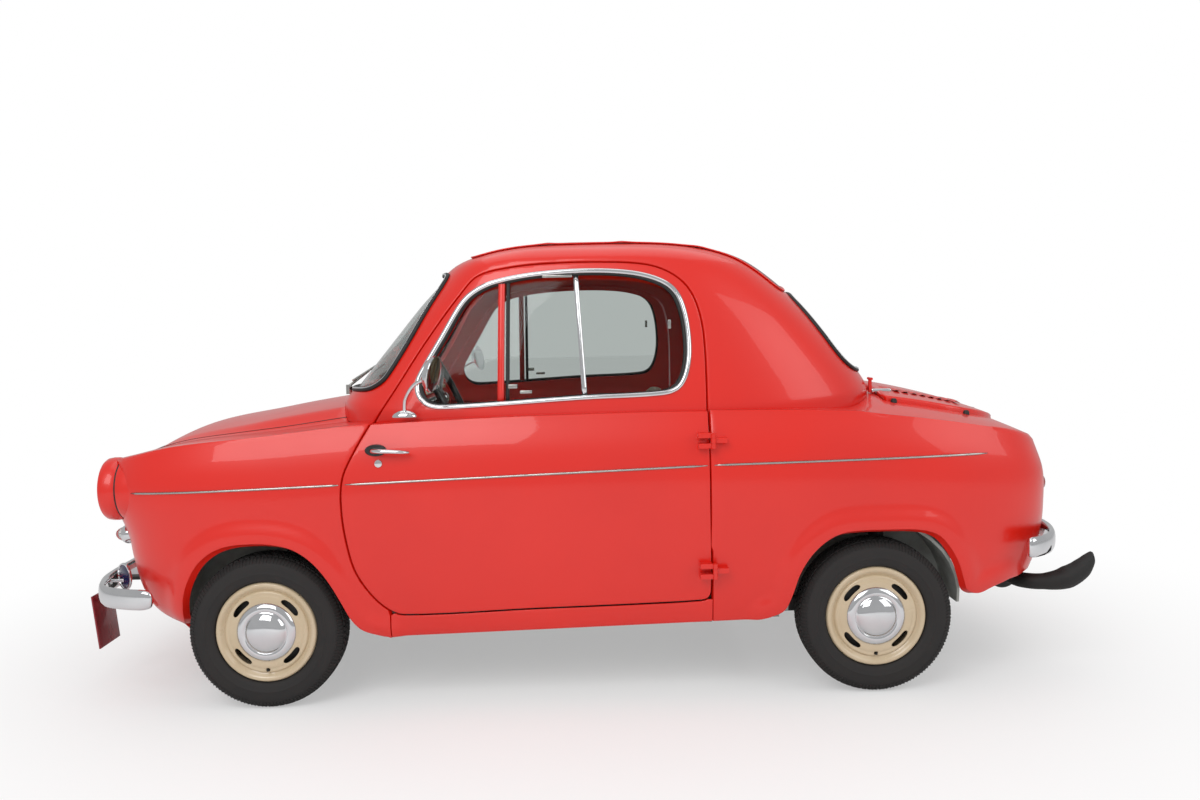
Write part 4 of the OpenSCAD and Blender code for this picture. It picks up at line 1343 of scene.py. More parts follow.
@dataclass
class Bodywork:
    """The fixed outer panels.

    Attributes:
        cell: panel cell size in millimetres.
        lamp_hole: radius of the headlamp openings.
        lid_gap: gap round the engine lid.
    """

    cell: float = 11.0
    lamp_hole: float = 89.0
    lid_gap: float = 4.0

    def build(self) -> None:
        """Makes every fixed panel."""
        self._front()
        self._tail()
        self._sills()
        self._cabin_frame()
        self._glazed("windscreen_pane", WINDSCREEN, rectangle(-2000, 0, -250, 2000),
            np.linspace(0.27, 0.73, 130), (-600, 0, 1030), (-1, 0, 0.75), "windscreen")
        self._glazed("rear_window_pane", REAR_GLASS, rectangle(500, 0, 2000, 2000),
            np.linspace(-0.22, 0.22, 110), (740, 0, 1010), (1, 0, 0.75), "rear_window")

    def _front(self) -> None:
        """Makes the wings, nose and bonnet, with the rims of the headlamps."""
        edge = share_at(FRONT_SPLIT + 10)
        nose_only = beyond(0, -1100, above=False)
        trims = [Trim(rectangle(-2000, 0, FRONT_SPLIT, 1500), View.SIDE, True),
            Trim(FRONT_ARCH, View.SIDE, False, outboard), DOOR_CUT,
            Trim(Outline(round_box(560, 170, 60, (0, 430))), View.FRONT, False, nose_only)]
        trims += [Trim(circle(self.lamp_hole, s * LAMP_PLACE[0], LAMP_PLACE[1]), View.FRONT, False, nose_only)
            for s in SIDES]
        panel = Panel(Skin(), Skin(inset=SKIN), around(edge, 1 - edge, self.cell),
            np.r_[np.linspace(0, 1, 56), np.linspace(1, 2, 46)[1:]], trims, RED, UNDERSEAL)
        rims = []
        for s in SIDES:
            place = ahead(-1270, s * LAMP_PLACE[0], LAMP_PLACE[1])
            ring = [(76, 64), (79, 73), (83, 76), (87, 71), (89, 60), (89, 46), (87, 36), (84, 31), (80, 31),
                (77, 50)]
            collar = [(82, 27), (86, 26), (89, 20), (92, 0), (95, -40), (97, -90), (93, -90), (90, -40),
                (86, 0), (82, 20)]
            rims.append(lathe(collar, RED, place, 72))
            rims.append(lathe(ring, RED, place, 72))
        done("front_wings", [panel.build(), *rims], ["front_body"])
        plan_line = round_off([(-668, -395), (-900, -398), (-1120, -392), (-1235, -372), (-1292, -300),
            (-1318, -150), (-1322, 0), (-1318, 150), (-1292, 300), (-1235, 372), (-1120, 392), (-900, 398),
            (-668, 395)], closed=False, steps=12)
        path = np.c_[plan_line, deck_z(plan_line[:, 0], plan_line[:, 1])]
        gap = sweep(path, np.c_[[-2.2, -2.2, 2.2, 2.2], [-4, 0.5, 0.5, -4]], (0, 0, 1), SEAL)
        done("bonnet_gap", [gap])

    def _tail(self) -> None:
        """Makes the quarters and the tail round the lid opening."""
        edge = share_at(REAR_SPLIT - 10)
        trims = [Trim(rectangle(REAR_SPLIT, 0, 2000, 1500), View.SIDE, True),
            Trim(REAR_ARCH, View.SIDE, False, outboard), DOOR_CUT, Trim(SILL_LINE, View.SIDE, False, outboard),
            Trim(LID.grown(self.lid_gap), View.TOP, False, beyond(2, 640)),
            Trim(rectangle(-441, 0, 441, 322), View.FRONT, False, beyond(0, 1130))]
        panel = Panel(Skin(), Skin(inset=SKIN), around(-edge, edge, self.cell),
            np.r_[np.linspace(0, 1, 56), np.linspace(1, 2, 40)[1:]], trims, RED, UNDERSEAL)
        done("tail_panels", [panel.build()], ["rear_body"])

    def _sills(self) -> None:
        """Makes the strips below the doors."""
        sides = []
        for s in SIDES:
            trims = [Trim(rectangle(FRONT_SPLIT + 3, 0, REAR_SPLIT - 2, 500), View.SIDE, True), DOOR_CUT,
                Trim(SILL_LINE, View.SIDE, False)]
            panel = Panel(Skin(s), Skin(s, SKIN), around(share_at(400), share_at(-680), self.cell),
                np.linspace(0, 0.24, 16), trims, RED, UNDERSEAL)
            sides.append(panel.build())
        done("sill_panels", sides)

    def _cabin_frame(self) -> None:
        """Makes the pillars and the roof's edge in one piece."""
        trims = [DOOR_CUT, Trim(WINDSCREEN, View.FRONT, False, beyond(0, -250, above=False)),
            Trim(REAR_GLASS, View.FRONT, False, beyond(0, 500)),
            Trim(ROOF_HOLE, View.TOP, False, beyond(2, 1120))]
        panel = Panel(Cabin(), Cabin(inset=30), np.linspace(0, 1, 560), cabin_steps(-1.3, 8, self.cell), trims,
            RED, RED_INSIDE_SHADED, closed=True)
        done("cabin_frame_panel", [panel.build()], ["cabin_frame"])

    def _glazed(self, name: str, outline: Outline, reach: Outline, u: Array, centre: Floats, axis: Floats,
            replaces: str) -> None:
        """Makes a bent pane in its rubber seal with a bright insert.

        Args:
            name: the pane's name.
            outline: the opening in the front view.
            reach: the end of the cabin it is on, seen from the side.
            u: steps round the cabin.
            centre: about where the opening's middle is.
            axis: outward direction for the seal.
            replaces: the CAD node it stands for.
        """
        pane, hole = (Panel(Cabin(inset=inset), Cabin(inset=inset + 5), u, cabin_steps(-0.5, 5.5, 12),
            [Trim(outline.grown(by), View.FRONT, True), Trim(reach, View.SIDE, True)], finish, finish,
            edge=edge) for inset, by, finish, edge in ((8, 10, GLASS, 0.8), (-1, -2, SEAL, 1.6)))
        done(name, [pane.build()], [replaces])
        discard([hole.build()])
        path, _ = loop_near(hole.loops, centre)
        seal = sweep(path, disc_profile(9, 14, 0.75), axis, SEAL, closed=True)
        done(name + "_seal", [seal])
        out = path + np.asarray(axis, float) / np.linalg.norm(axis) * 5.5
        insert = sweep(out, disc_profile(3.2, 10, 0.8), axis, CHROME, closed=True)
        done(name + "_insert", [insert])


def roof_z(x: Array, y: Array) -> Array:
    """Gives the roof's height, by halving the row number.

    Args:
        x: places along the car.
        y: places across it.

    Returns:
        A height for each place.
    """
    low, high = np.full(len(x), 2.0), np.full(len(x), 8.0)

    def reach(g: Array) -> Array:
        """Returns how far out each place is on row g."""
        a = np.where(x < 0, CABIN[0](g), CABIN[4](g))
        n = np.where(x < 0, *CABIN_POWERS)
        return np.abs(x / a) ** n + np.abs(y / CABIN[2](g)) ** n

    for _ in range(22):
        middle = (low + high) / 2
        out = reach(middle) > 1
        high, low = np.where(out, middle, high), np.where(out, low, middle)
    a = np.where(x < 0, CABIN[0](low), CABIN[4](low))
    z = mix(CABIN[3](low), np.where(x < 0, CABIN[1](low), CABIN[5](low)),
        np.clip(np.abs(x / a), 0, 1) ** CROWN_POWER)
    return np.where(low > 7.99, mix(1291.5, z, np.clip(reach(np.full(len(x), 8.0)), 0, 1)), z)


@dataclass
class ClothRoof:
    """The roll-back cloth roof over its bows.

    Attributes:
        thickness: cloth thickness in millimetres.
        bows: x of each bow beneath the cloth.
        bow_rise: how far a bow lifts the cloth.
    """

    thickness: float = 2.4
    bows: tuple[float, ...] = (-90, 130, 350)
    bow_rise: float = 2.6

    def _top(self, x: Array, y: Array) -> Array:
        """Returns the cloth's outside in millimetres, hung in slack between the bows."""
        z = roof_z(x, y) + 3.0
        for bow in self.bows:
            z = z + self.bow_rise * np.exp(-(((x - bow) / 20) ** 2))
        return np.stack([x, y, np.minimum(z, 1296)], -1)

    def _under(self, x: Array, y: Array) -> Array:
        """Returns the cloth's inside."""
        return self._top(x, y) - [0, 0, self.thickness]

    def build(self) -> None:
        """Makes the cloth and its edge bead."""
        grown = ROOF_HOLE.grown(9)
        cloth = Panel(self._top, self._under, np.linspace(-325, 625, 118), np.linspace(-420, 420, 104),
            [Trim(grown, View.TOP, True)], CANVAS, CANVAS, edge=1.0)
        piece = done("roof_cloth", [cloth.build()], ["fabric_roof"])
        edge = loop_near(cloth.loops, (150, 0, 1270))[0]
        bead = sweep(edge + [0, 0, 0.5], disc_profile(4.0, 10, 0.6), (0, 0, 1), RED, closed=True)
        done("roof_bead", [bead])


@dataclass
class EngineLid:
    """The lid over the engine, with its hinges and two rows of louvres.

    Attributes:
        rise: how far it stands above the deck.
        thickness: how thick its folded edge is.
        louvres: how many in a row.
        pitch: from one louvre to the next.
    """

    rise: float = 14.0
    thickness: float = 17.0
    louvres: int = 9
    pitch: float = 26.0

    def _top(self, x: Array, y: Array) -> Array:
        """Returns the lid's outside."""
        return np.stack([x, y, deck_z(x, y) + self.rise], -1)

    def _under(self, x: Array, y: Array) -> Array:
        """Returns the lid's inside."""
        return self._top(x, y) - [0, 0, self.thickness]

    def build(self) -> None:
        """Makes the lid, louvres, hinge straps, handle and buffers."""
        panel = Panel(self._top, self._under, np.linspace(880, 1325, 60), np.linspace(-402, 402, 100),
            [Trim(LID, View.TOP, True)], RED, RED_INSIDE_SHADED, edge=6)
        parts = [panel.build()]
        for s in SIDES:
            x = 922 + np.arange(self.louvres) * self.pitch
            y = np.full(self.louvres, s * 235.0)
            z = deck_z(x, y) + self.rise
            slope = (z[-1] - z[0]) / (x[-1] - x[0])
            profile = np.array([(0, -1), (4, 5.5), (9, 6.5), (14, 4), (18, -1)])
            length = np.linspace(-62, 62, 13)
            width = np.sqrt(np.clip(1 - (np.abs(length) / 64) ** 3, 0.02, 1))
            points = np.array([(p[0], l, p[1] * w + slope * p[0]) for l, w in zip(length, width)
                for p in profile])
            faces = ribbon_faces(13, 5, False, False)
            unit = fix_normals(make_mesh(points, faces, RED))
            parts.append(repeats(unit, self.louvres, RED, step=(self.pitch, 0, slope * self.pitch),
                origin=(x[0], s * 235, z[0])))
            # A thin black strip under each louvre's lip is painted shade: it stands for the dark opening into
            # the engine bay, not for rubber.
            louvre_shade = fix_normals(
                make_mesh(np.array([(18.2, -50, 0.4), (18.2, 50, 0.4), (20.5, 50, 0.3), (20.5, -50, 0.3)]),
                [(0, 1, 2, 3)], SEAL))
            parts.append(repeats(louvre_shade, self.louvres, SEAL, step=(self.pitch, 0, slope * self.pitch),
                origin=(x[0], s * 235, z[0])))
        done("engine_lid_panel", parts, ["engine_lid"], body="engine_lid")
        metal = []
        for s in SIDES:
            metal.append(bevelled_box((874, s * 300 - 11, 819), (934, s * 300 + 11, 831), 4, CHROME))
        z = float(deck_z(np.array([1290.0]), np.array([0.0]))[0]) + self.rise
        metal.append(bevelled_box((1262, -42, z - 2), (1286, 42, z + 14), 5, CHROME))
        done("lid_fittings", metal, body="engine_lid")
        buffers = []
        for s in SIDES:
            for x in (913, 1126):
                y = s * 408.0
                at = float(deck_z(np.array([float(x)]), np.array([y]))[0])
                buffers.append(lathe([(0.1, 12), (6, 11), (9, 6), (9.5, -4), (0.1, -4)], SEAL,
                    Matrix.Translation((x, y, at)), 24))
        done("lid_buffers", buffers)


# ---- doors


@dataclass(frozen=True)
class DoorLower:
    """The door's lower shell, with the ledge under the window."""

    side: int
    inset: float = 0.0

    def __call__(self, u: Array, v: Array) -> Array:
        """Places points on the surface.

        Args:
            u: shares of the way round.
            v: 0 to 1 up the flank, then over the ledge.

        Returns:
            The places in millimetres.
        """
        out = lower_shell(angle(u), np.minimum(v, 1), np.full(len(u), self.inset))
        past = np.maximum(v - 1, 0)
        out[:, 1] -= np.sign(out[:, 1]) * 30 * past
        out[:, 2] += 2 * ease(past)
        out[:, 1] *= self.side
        return out


@dataclass
class Door:
    """One door: shell, window frame, glass, trim, handle, mirror and inside card.

    Attributes:
        side: -1 for left, 1 for right.
        cell: panel cell size.
        depth: depth of the lower shell.
        frame_depth: depth of the window frame.
    """

    side: int
    cell: float = 10.0
    depth: float = 42.0
    frame_depth: float = 30.0

    @property
    def body(self) -> str:
        """Returns the body's name."""
        return "door_" + side_word(self.side)

    def _hand_over(self, part: str, pieces: Sequence[Piece], replaces: Sequence[str] = ()) -> None:
        """Finishes one piece that swings with the door."""
        done(self.body + part, pieces, replaces, self.body)

    def _on_cabin(self, x: float, z: float, proud: float = 0.0) -> Array:
        """Finds a place on the window frame.

        Args:
            x: place along the car.
            z: its height.
            proud: how far it stands out.

        Returns:
            The place.
        """
        low, high = -1.0, 8.0
        for _ in range(30):
            g = (low + high) / 2
            row = [float(curve(np.clip(g, 0, 8))) for curve in CABIN]
            a, n = (row[0], CABIN_POWERS[0]) if x < 0 else (row[4], CABIN_POWERS[1])
            reach = min(1.0, abs(x / a))
            here = row[3] + ((row[1] if x < 0 else row[5]) - row[3]) * reach**CROWN_POWER
            low, high = (g, high) if here < z else (low, g)
        y = row[2] * (1 - min(0.9999, reach**n)) ** (1 / n)
        return np.array([x, self.side * (y + proud), z])

    def build(self) -> None:
        """Makes everything that swings with the door."""
        self._glass(self._shell())
        self._hand_over("_strip", [strip((-645, 626), (340, 654), self.side)])
        self._fittings()
        self._mirror()
        self._inside()

    def _shell(self) -> Array:
        """Makes the pressed shell and the window frame, joined.

        Returns:
            The window opening's rim.
        """
        s = self.side
        lower = Panel(DoorLower(s), DoorLower(s, self.depth), around(share_at(375), share_at(-690), self.cell),
            np.r_[np.linspace(0.1, 1, 54), 1.35, 1.7, 2.0], [Trim(DOOR, View.SIDE, True)], RED, RED_INSIDE_SHADED,
            draft=5)
        u = around(share_at(-1340), share_at(1000), 15)
        upper = Panel(Cabin(s), Cabin(s, self.frame_depth), u, cabin_steps(-1.2, 5, 8),
            [Trim(DOOR, View.SIDE, True), Trim(WINDOW, View.SIDE, False)], RED, RED_INSIDE_SHADED, draft=2)
        parts = [lower.build(), upper.build()]
        self._hand_over("_shell", parts, [self.body])
        return loop_near(upper.loops, (-60, s * 550, 1010))[0]

    def _glass(self, rim: Array) -> None:
        """Makes the pane, the chrome surround, the rubber channel and the bars.

        Args:
            rim: the window opening's rim.
        """
        s = self.side
        u = around(share_at(-1340), share_at(1000), 24)
        pane = Panel(Cabin(s, 13), Cabin(s, 17), u, cabin_steps(-0.25, 5, 14),
            [Trim(WINDOW.grown(8), View.SIDE, True)], GLASS, GLASS, edge=0.8)
        self._hand_over("_pane", [pane.build()], ["door_glass_" + side_word(s)])
        up = np.array([0, s * 0.95, 0.3])
        bright = sweep(rim + up * 1.0, np.c_[[-7, -6, 0, 6, 7, 6, -6], [-3, 2.5, 4, 2.5, -3, -6, -6]], up,
            CHROME, closed=True)
        centre = rim.mean(0)
        inner = centre + (rim - centre) * 0.975 - up * 6
        rubber = sweep(inner, disc_profile(7, 10, 0.9), up, SEAL, closed=True)
        bars = [self._bar((-222, 838), (-214, 1186), 9, RED, 5.0),
            self._bar((-203, 838), (-196, 1186), 5, SEAL, 3.0),
            self._bar((10, 846), (-8, 1186), 7, CHROME, 4.0)]
        self._hand_over("_surround", [bright])
        self._hand_over("_channels", [rubber, *bars])
        latches = [self._block((-188, 878), (26, 14, 12)), self._block((-152, 862), (34, 9, 9)),
            self._block((-60, 1180), (84, 9, 8)), self._block((250, 1040), (9, 10, 26))]
        self._hand_over("_latches", latches)

    def _bar(self, foot: Pair, head: Pair, half: float, finish: Finish, proud: float) -> Piece:
        """Makes one upright bar that follows the window's curve.

        Args:
            foot: lower end, x and z.
            head: upper end.
            half: half its width.
            finish: the finish it takes.
            proud: how far it stands out.

        Returns:
            The bar.
        """
        path = np.array([self._on_cabin(mix(foot[0], head[0], t), mix(foot[1], head[1], t), -12 + proud)
            for t in np.linspace(0, 1, 14)])
        return sweep(path, np.c_[[-half, -half, half, half], [-5, 4, 4, -5]], (0, self.side, 0.25), finish)

    def _block(self, at: Pair, size: Point) -> Piece:
        """Makes one small latch block on the window."""
        p = self._on_cabin(*at, proud=-5)
        half = np.array(size) / 2
        return bevelled_box(p - half, p + half, 2.5, SATIN_CHROME)

    def _fittings(self) -> None:
        """Makes the handle on its dark plate and the round lock."""
        s = self.side
        turn = put(flank_point(-560, 716, s), -90 * s, "X")
        plate = lathe([(0.1, 5), (24, 5), (27, 2), (27, -4), (0.1, -4)], PHENOLIC,
            turn @ Matrix.Diagonal((1.1, 0.62, 1, 1)), 40)
        path = np.array([flank_point(x, z, s, proud) for x, z,
            proud in ((-570, 716, 4), (-566, 716, 16), (-548, 716, 24), (-520, 715, 27), (-490, 713, 26),
            (-466, 711, 21))])
        lever = sweep(path, disc_profile(8, 12, 0.75), (0, 0, 1), CHROME,
            width=np.array([0.9, 1.0, 1.05, 1.0, 0.9, 0.7]))
        lock_at = put(flank_point(-553, 681, s), -90 * s, "X")
        lock = lathe([(0.1, 5), (6, 5), (10, 4), (11, 0), (11, -3), (0.1, -3)], CHROME, lock_at, 32)
        self._hand_over("_handle", [plate, lever, lock])

    def _mirror(self) -> None:
        """Makes the round mirror on its stalk and teardrop foot."""
        s = self.side
        foot = np.array([-484, s * 590.0, 806])
        base = lathe([(0.1, 16), (10, 13), (17, 6), (20, 0), (20, -4), (0.1, -4)], CHROME,
            Matrix.Translation(foot) @ Matrix.Diagonal((1.7, 0.8, 1, 1)), 40)
        path = np.array([foot + [0, 0, 10], foot + [6, s * 14, 45], foot + [34, s * 46, 84],
            foot + [70, s * 66, 104], foot + [84, s * 70, 112]])
        stalk = sweep(round_off3(path), disc_profile(5.5, 12), (0, 0, 1), CHROME)
        head_at = put(foot + [88, s * 72, 116], 90 - 12 * s, "Y")
        head_at = head_at @ Matrix.Rotation(math.radians(14), 4, "X")
        back = lathe([(0.1, -22), (20, -20), (38, -13), (48, -3), (50, 4), (48, 6), (45, 4), (0.1, 4)], CHROME,
            head_at, 56)
        self._hand_over("_mirror", [base, stalk, back], ["mirror_" + side_word(s)])

    def _inside(self) -> None:
        """Makes the leathercloth card inside the door with its pocket roll and pull."""
        s = self.side
        card = Outline(DOOR.points * [0.86, 1])
        card = Outline(np.array([p if p[1] < 770 else [p[0], 770] for p in card.grown(-26).points]))
        inner = Panel(DoorLower(s, self.depth + 4), DoorLower(s, self.depth - 1),
            around(share_at(330), share_at(-600), 16), np.linspace(0.16, 0.99, 34),
            [Trim(card, View.SIDE, True)], LEATHERCLOTH, LEATHERCLOTH, edge=2)
        path = np.array([flank_point(x, 560, s, -self.depth - 12) for x in np.linspace(-420, 240, 30)])
        roll = sweep(path, disc_profile(13, 14), (0, 0, 1), LEATHERCLOTH)
        pull = np.array([flank_point(x, 700, s, -self.depth - 6 - 26 * math.sin(math.pi * t) ** 0.5) for x,
            t in zip(np.linspace(-330, -190, 13), np.linspace(0, 1, 13))])
        grip = sweep(pull, disc_profile(6, 12), (0, 0, 1), CHROME)
        self._hand_over("_card", [inner.build(), roll, grip])


def round_off3(path: Array, steps: int = 8) -> Array:
    """Draws a smooth open path through points in space.

    Args:
        path: the points.
        steps: points on each stretch.

    Returns:
        The path's points.
    """
    n = len(path)
    before, after = neighbours(n)
    way = (path[after] - path[before]) / 2
    t = np.linspace(0, 1, steps, endpoint=False)[:, None]
    return np.vstack([*(hermite(t, path[i], path[i + 1], way[i], way[i + 1]) for i in range(n - 1)), path[-1:]])


def strip(start: Pair, end: Pair, side: int) -> Piece:
    """Makes a bright strip along a flank.

    Args:
        start: front end, x and z.
        end: rear end.
        side: which flank.

    Returns:
        The strip.
    """
    t = np.linspace(0, 1, max(8, int(abs(end[0] - start[0]) / 18)))
    path = np.array([flank_point(mix(start[0], end[0], k), mix(start[1], end[1], k), side, 0.4) for k in t])
    ends = np.clip(np.minimum(t, 1 - t) * 30, 0.35, 1)
    return sweep(path, np.c_[[0, 0, 2.8, 2.8], [-3.2, 3.2, 1.8, -1.8]] * [-side, 1], (0, 0, 1), SATIN_CHROME,
        width=ends)


# ---- wheels


@dataclass
class Wheel:
    """One wheel: pressed disc with four slots, rim, hub cap, drum and ribbed tyre.

    Attributes:
        end: "front" or "rear".
        side: -1 for left, 1 for right.
        centre: the hub's place in millimetres.
        blocks: tread blocks round the tyre.
        sipes: fine ribs round each shoulder.
    """

    end: str
    side: int
    centre: Point
    blocks: int = 84
    sipes: int = 132
    face: tuple[Pair, ...] = ((24, 44), (60, 45), (84, 46), (94, 46.5), (101, 45.5), (105, 43.5), (109, 45),
        (113, 43.5), (116.5, 38.5), (120, 42), (125, 48), (132, 51), (137, 49), (139.5, 44))

    @property
    def name(self) -> str:
        """Returns the wheel's end and side in one word."""
        return f"{self.end}_{side_word(self.side)}"

    def _disc(self, deep: float) -> Surface:
        """Makes the pressed disc's surface.

        Args:
            deep: depth below its face.

        Returns:
            The surface, by angle and radius.
        """
        height = Curve(self.face)

        def surface(a: Array, r: Array) -> Array:
            """Returns the disc's places about the hub."""
            return np.stack([r * np.cos(a), self.side * (height(r) - deep), r * np.sin(a)], -1)

        return surface

    @property
    def axis(self) -> Matrix:
        """Returns the matrix that lays a turned piece along the axle, outwards."""
        return Matrix.Rotation(-self.side * math.pi / 2, 4, "X")

    def build(self) -> None:
        """Makes the wheel and its tyre."""
        slots = []
        for k in range(4):
            a = math.radians(45 + 90 * k) + np.r_[np.linspace(-0.31, 0.31, 13), np.linspace(0.31, -0.31, 13)]
            bow = np.sqrt(1 - np.linspace(-0.96, 0.96, 13) ** 4)
            r = 97 + 8.0 * np.r_[bow, -bow]
            slots.append(Trim(Outline(np.c_[r * np.cos(a), r * np.sin(a)]), View.SIDE, False))
        slots.append(Trim(circle(5.5, 0, -107, 20), View.SIDE, False))
        disc = Panel(self._disc(0), self._disc(3), np.linspace(0, 2 * math.pi, 193), np.linspace(24, 139.5, 40),
            slots, CREAM, edge=1.0, closed=True)
        barrel = [(139.5, 43), (135, 44), (121, 38), (117, 34), (117, -32), (124, -40), (138, -44), (140, -50),
            (136, -51), (122, -44), (114, -36), (114, 36), (119, 41), (134, 47)]
        rim = lathe(barrel, CREAM, self.axis, 120)
        cap = [(0.1, 71), (14, 70.5), (28, 68.5), (40, 65), (49, 60.5), (54, 56.5), (56.5, 53.5), (58.5, 53),
            (61, 54.2), (66, 55), (72, 53.5), (77, 51), (81, 47.5), (82.5, 45), (80, 43), (0.1, 43)]
        hub = lathe(cap, CHROME, self.axis, 128)
        drum = lathe([(0.1, 20), (98, 20), (106, 16), (108, 8), (108, -30), (104, -32), (0.1, -32)], CHASSIS,
            self.axis, 72)
        valve = lathe([(0.1, 15), (2.6, 15), (3.2, 10), (3.4, 0), (0.1, 0)], SEAL,
            Matrix.Translation((0, self.side * 36, -107)) @ self.axis, 16)
        name = "wheel_" + self.name
        done("wheel_disc_" + self.name, [disc.build(), rim, hub, drum, valve], [name], name,
            self.centre)
        self._tyre()

    def _tyre(self) -> None:
        """Makes the tyre with its tread blocks and shoulder ribs."""
        half = [(141, 45), (143, 49), (148, 52.5), (156, 55), (163, 56.5), (166, 58), (169, 57), (178, 57.6),
            (188, 56.6), (196, 54), (202, 50), (206, 46), (209, 43), (210.5, 36)]
        profile = [*half, (211, 0), *[(r, -w) for r, w in reversed(half)], (139.6, -40), (139.6, 40)]
        turn = 360 / self.blocks
        parts = [lathe(profile, TYRE, self.axis, 144)]
        for w, phase in ((-30, 0.0), (-15, 0.5), (0, 0.0), (15, 0.5), (30, 0.0)):
            top = 214.4 - abs(w) * 0.03
            unit = bevelled_box((205, w - 5.6, -6.6), (top, w + 5.6, 6.6), 0.9, TYRE,
                Matrix.Rotation(math.radians(turn * phase), 4, "Y"))
            parts.append(repeats(unit, self.blocks, TYRE, turn=(0, turn, 0)))
        for w in (-1, 1):
            lean = put((203, w * 49.5, 0), -38 * w, "Z")
            unit = bevelled_box((-9, -1.6, -1.7), (9, 1.6, 1.7), 0.6, TYRE, lean)
            parts.append(repeats(unit, self.sipes, TYRE, turn=(0, 360 / self.sipes, 0)))
        name = "tyre_" + self.name
        done(name + "_rubber", parts, [name], "wheel_" + self.name, self.centre)


# ---- lamps, bumpers and plates


@dataclass
class Lamps:
    """Headlamps, side lamps and tail lamps.

    Attributes:
        flutes: ribs pressed into each headlamp glass.
    """

    flutes: int = 15

    def build(self) -> None:
        """Makes every lamp."""
        glass, metal, dark = [], [], []
        for s in SIDES:
            place = ahead(-1270, s * LAMP_PLACE[0], LAMP_PLACE[1])
            glass.append(lathe([(0.1, 81), (20, 80), (40, 77), (58, 72), (74, 65), (74, 62), (56, 68), (40, 73),
                (20, 76), (0.1, 77)], LENS, place, 72))
            metal.append(lathe([(71, 65), (73, 70), (77, 73.5), (81, 72), (82, 66), (78, 62)], CHROME, place,
                72))
            metal.append(lathe([(72, 62), (62, 48), (48, 32), (30, 20), (10, 14), (0.1, 13), (0.1, 11),
                (32, 17), (50, 29), (65, 45), (74, 60)], CHROME, place, 56))
            metal.append(lathe([(0.1, 44), (6, 42), (9, 36), (8, 29), (5, 24), (5, 13), (0.1, 13)],
                SATIN_CHROME, place, 24))
            dark.append(lathe([(78, 50), (82, 40), (84, 30), (82, 12), (76, 10)], SEAL, place, 56))
            unit = bevelled_box((-1343, -1.6, -48), (-1340, 1.6, 48), 0.7, LENS)
            glass.append(repeats(unit, self.flutes, LENS, step=(0, 6.4, 0),
                origin=(0, s * LAMP_PLACE[0] - 44.8, LAMP_PLACE[1])))
            side = ahead(-1308, s * 430, 470)
            metal.append(lathe([(27, 0), (28, 8), (26, 16), (22, 22), (21, 20), (21, -10), (27, -10)], CHROME,
                side, 48))
            glass.append(lathe([(0.1, 44), (9, 41), (16, 34), (20, 24), (21, 16), (0.1, 16)], LENS, side, 40))
        done("headlamp_glass", glass)
        done("lamp_metal", metal, ["headlamps", "side_lamps"])
        done("lamp_sleeves", dark)
        self._tail()

    def _tail(self) -> None:
        """Makes the red tail lamps in chrome rings."""
        red, metal = [], []
        for s in SIDES:
            place = ahead(1346, s * 330, 540, forward=False)
            red.append(lathe([(0.1, 46), (10, 45), (19, 41), (25, 35), (28, 27), (29, 14), (0.1, 14)], RED_LENS,
                place, 48))
            metal.append(lathe([(28, 22), (32, 20), (35, 12), (36, -14), (28, -14)], CHROME, place, 48))
        done("tail_lenses", red, ["tail_lamps"])
        done("tail_lamp_rings", metal)


@dataclass
class Bumpers:
    """The two bumper blades on their brackets.

    Attributes:
        half_height: half of the blade's height.
        thickness: the blade's crown.
    """

    half_height: float = 30.0
    thickness: float = 14.0

    def _blade(self, name: str, points: Sequence[Pair], x: float, z: float, forward: bool,
            replaces: str) -> None:
        """Makes one blade, its brackets and bolts.

        Args:
            name: the piece's name.
            points: half width and set-back pairs.
            x: place of its middle.
            z: height of its middle.
            forward: whether it faces forwards.
            replaces: the CAD node it stands for.
        """
        way = 1 if forward else -1
        half = np.array([(x + way * back, y, z) for y, back in points], float)
        path = round_off3(np.vstack([half[::-1] * [1, -1, 1], half[1:]]), 10)
        h, t = self.half_height, self.thickness
        crown = np.array([(-6, 0.5), (-4, 0.78), (2, 0.97), (8, 0.94), (12, 0.68), (t, 0.3)])
        profile = np.vstack([crown, crown[::-1] * [1, -1]]) * [-1, h]
        if not forward:
            profile = profile[::-1] * [-1, 1]
        from_tip = np.minimum(np.arange(len(path)), np.arange(len(path))[::-1]) / 6
        width = 0.3 + 0.7 * np.sqrt(1 - (1 - np.clip(from_tip, 0, 1)) ** 2)
        blade = sweep(path, profile, (0, 0, 1), CHROME, width=width)
        parts = [blade]
        for s in SIDES:
            parts.append(lathe([(0.1, 8), (7, 7), (11, 3), (12, -2), (0.1, -2)], CHROME,
                ahead(x - way * 9, s * 284, z, forward), 28))
            parts.append(bevelled_box((min(x + way * 6, x + way * 130), s * 284 - 18, z - 5),
                (max(x + way * 6, x + way * 130), s * 284 + 18, z + 5), 2, CHASSIS))
        done(name, parts, [replaces])

    def build(self) -> None:
        """Makes both bumpers."""
        front = [(0, 0), (300, 6), (440, 30), (520, 74), (562, 150), (576, 222)]
        rear = [(0, 0), (300, 6), (440, 28), (530, 70), (584, 128), (592, 156)]
        self._blade("front_blade", front, -1420, 310, True, "front_bumper")
        self._blade("rear_blade", rear, 1388, 398, False, "rear_bumper")


def nose_x(y: Array | float, reach: float) -> Array:
    """Returns how far forward the nose is at each place across it."""
    return -reach * (1 - (np.abs(y) / 632) ** 6.2) ** (1 / 6.2)


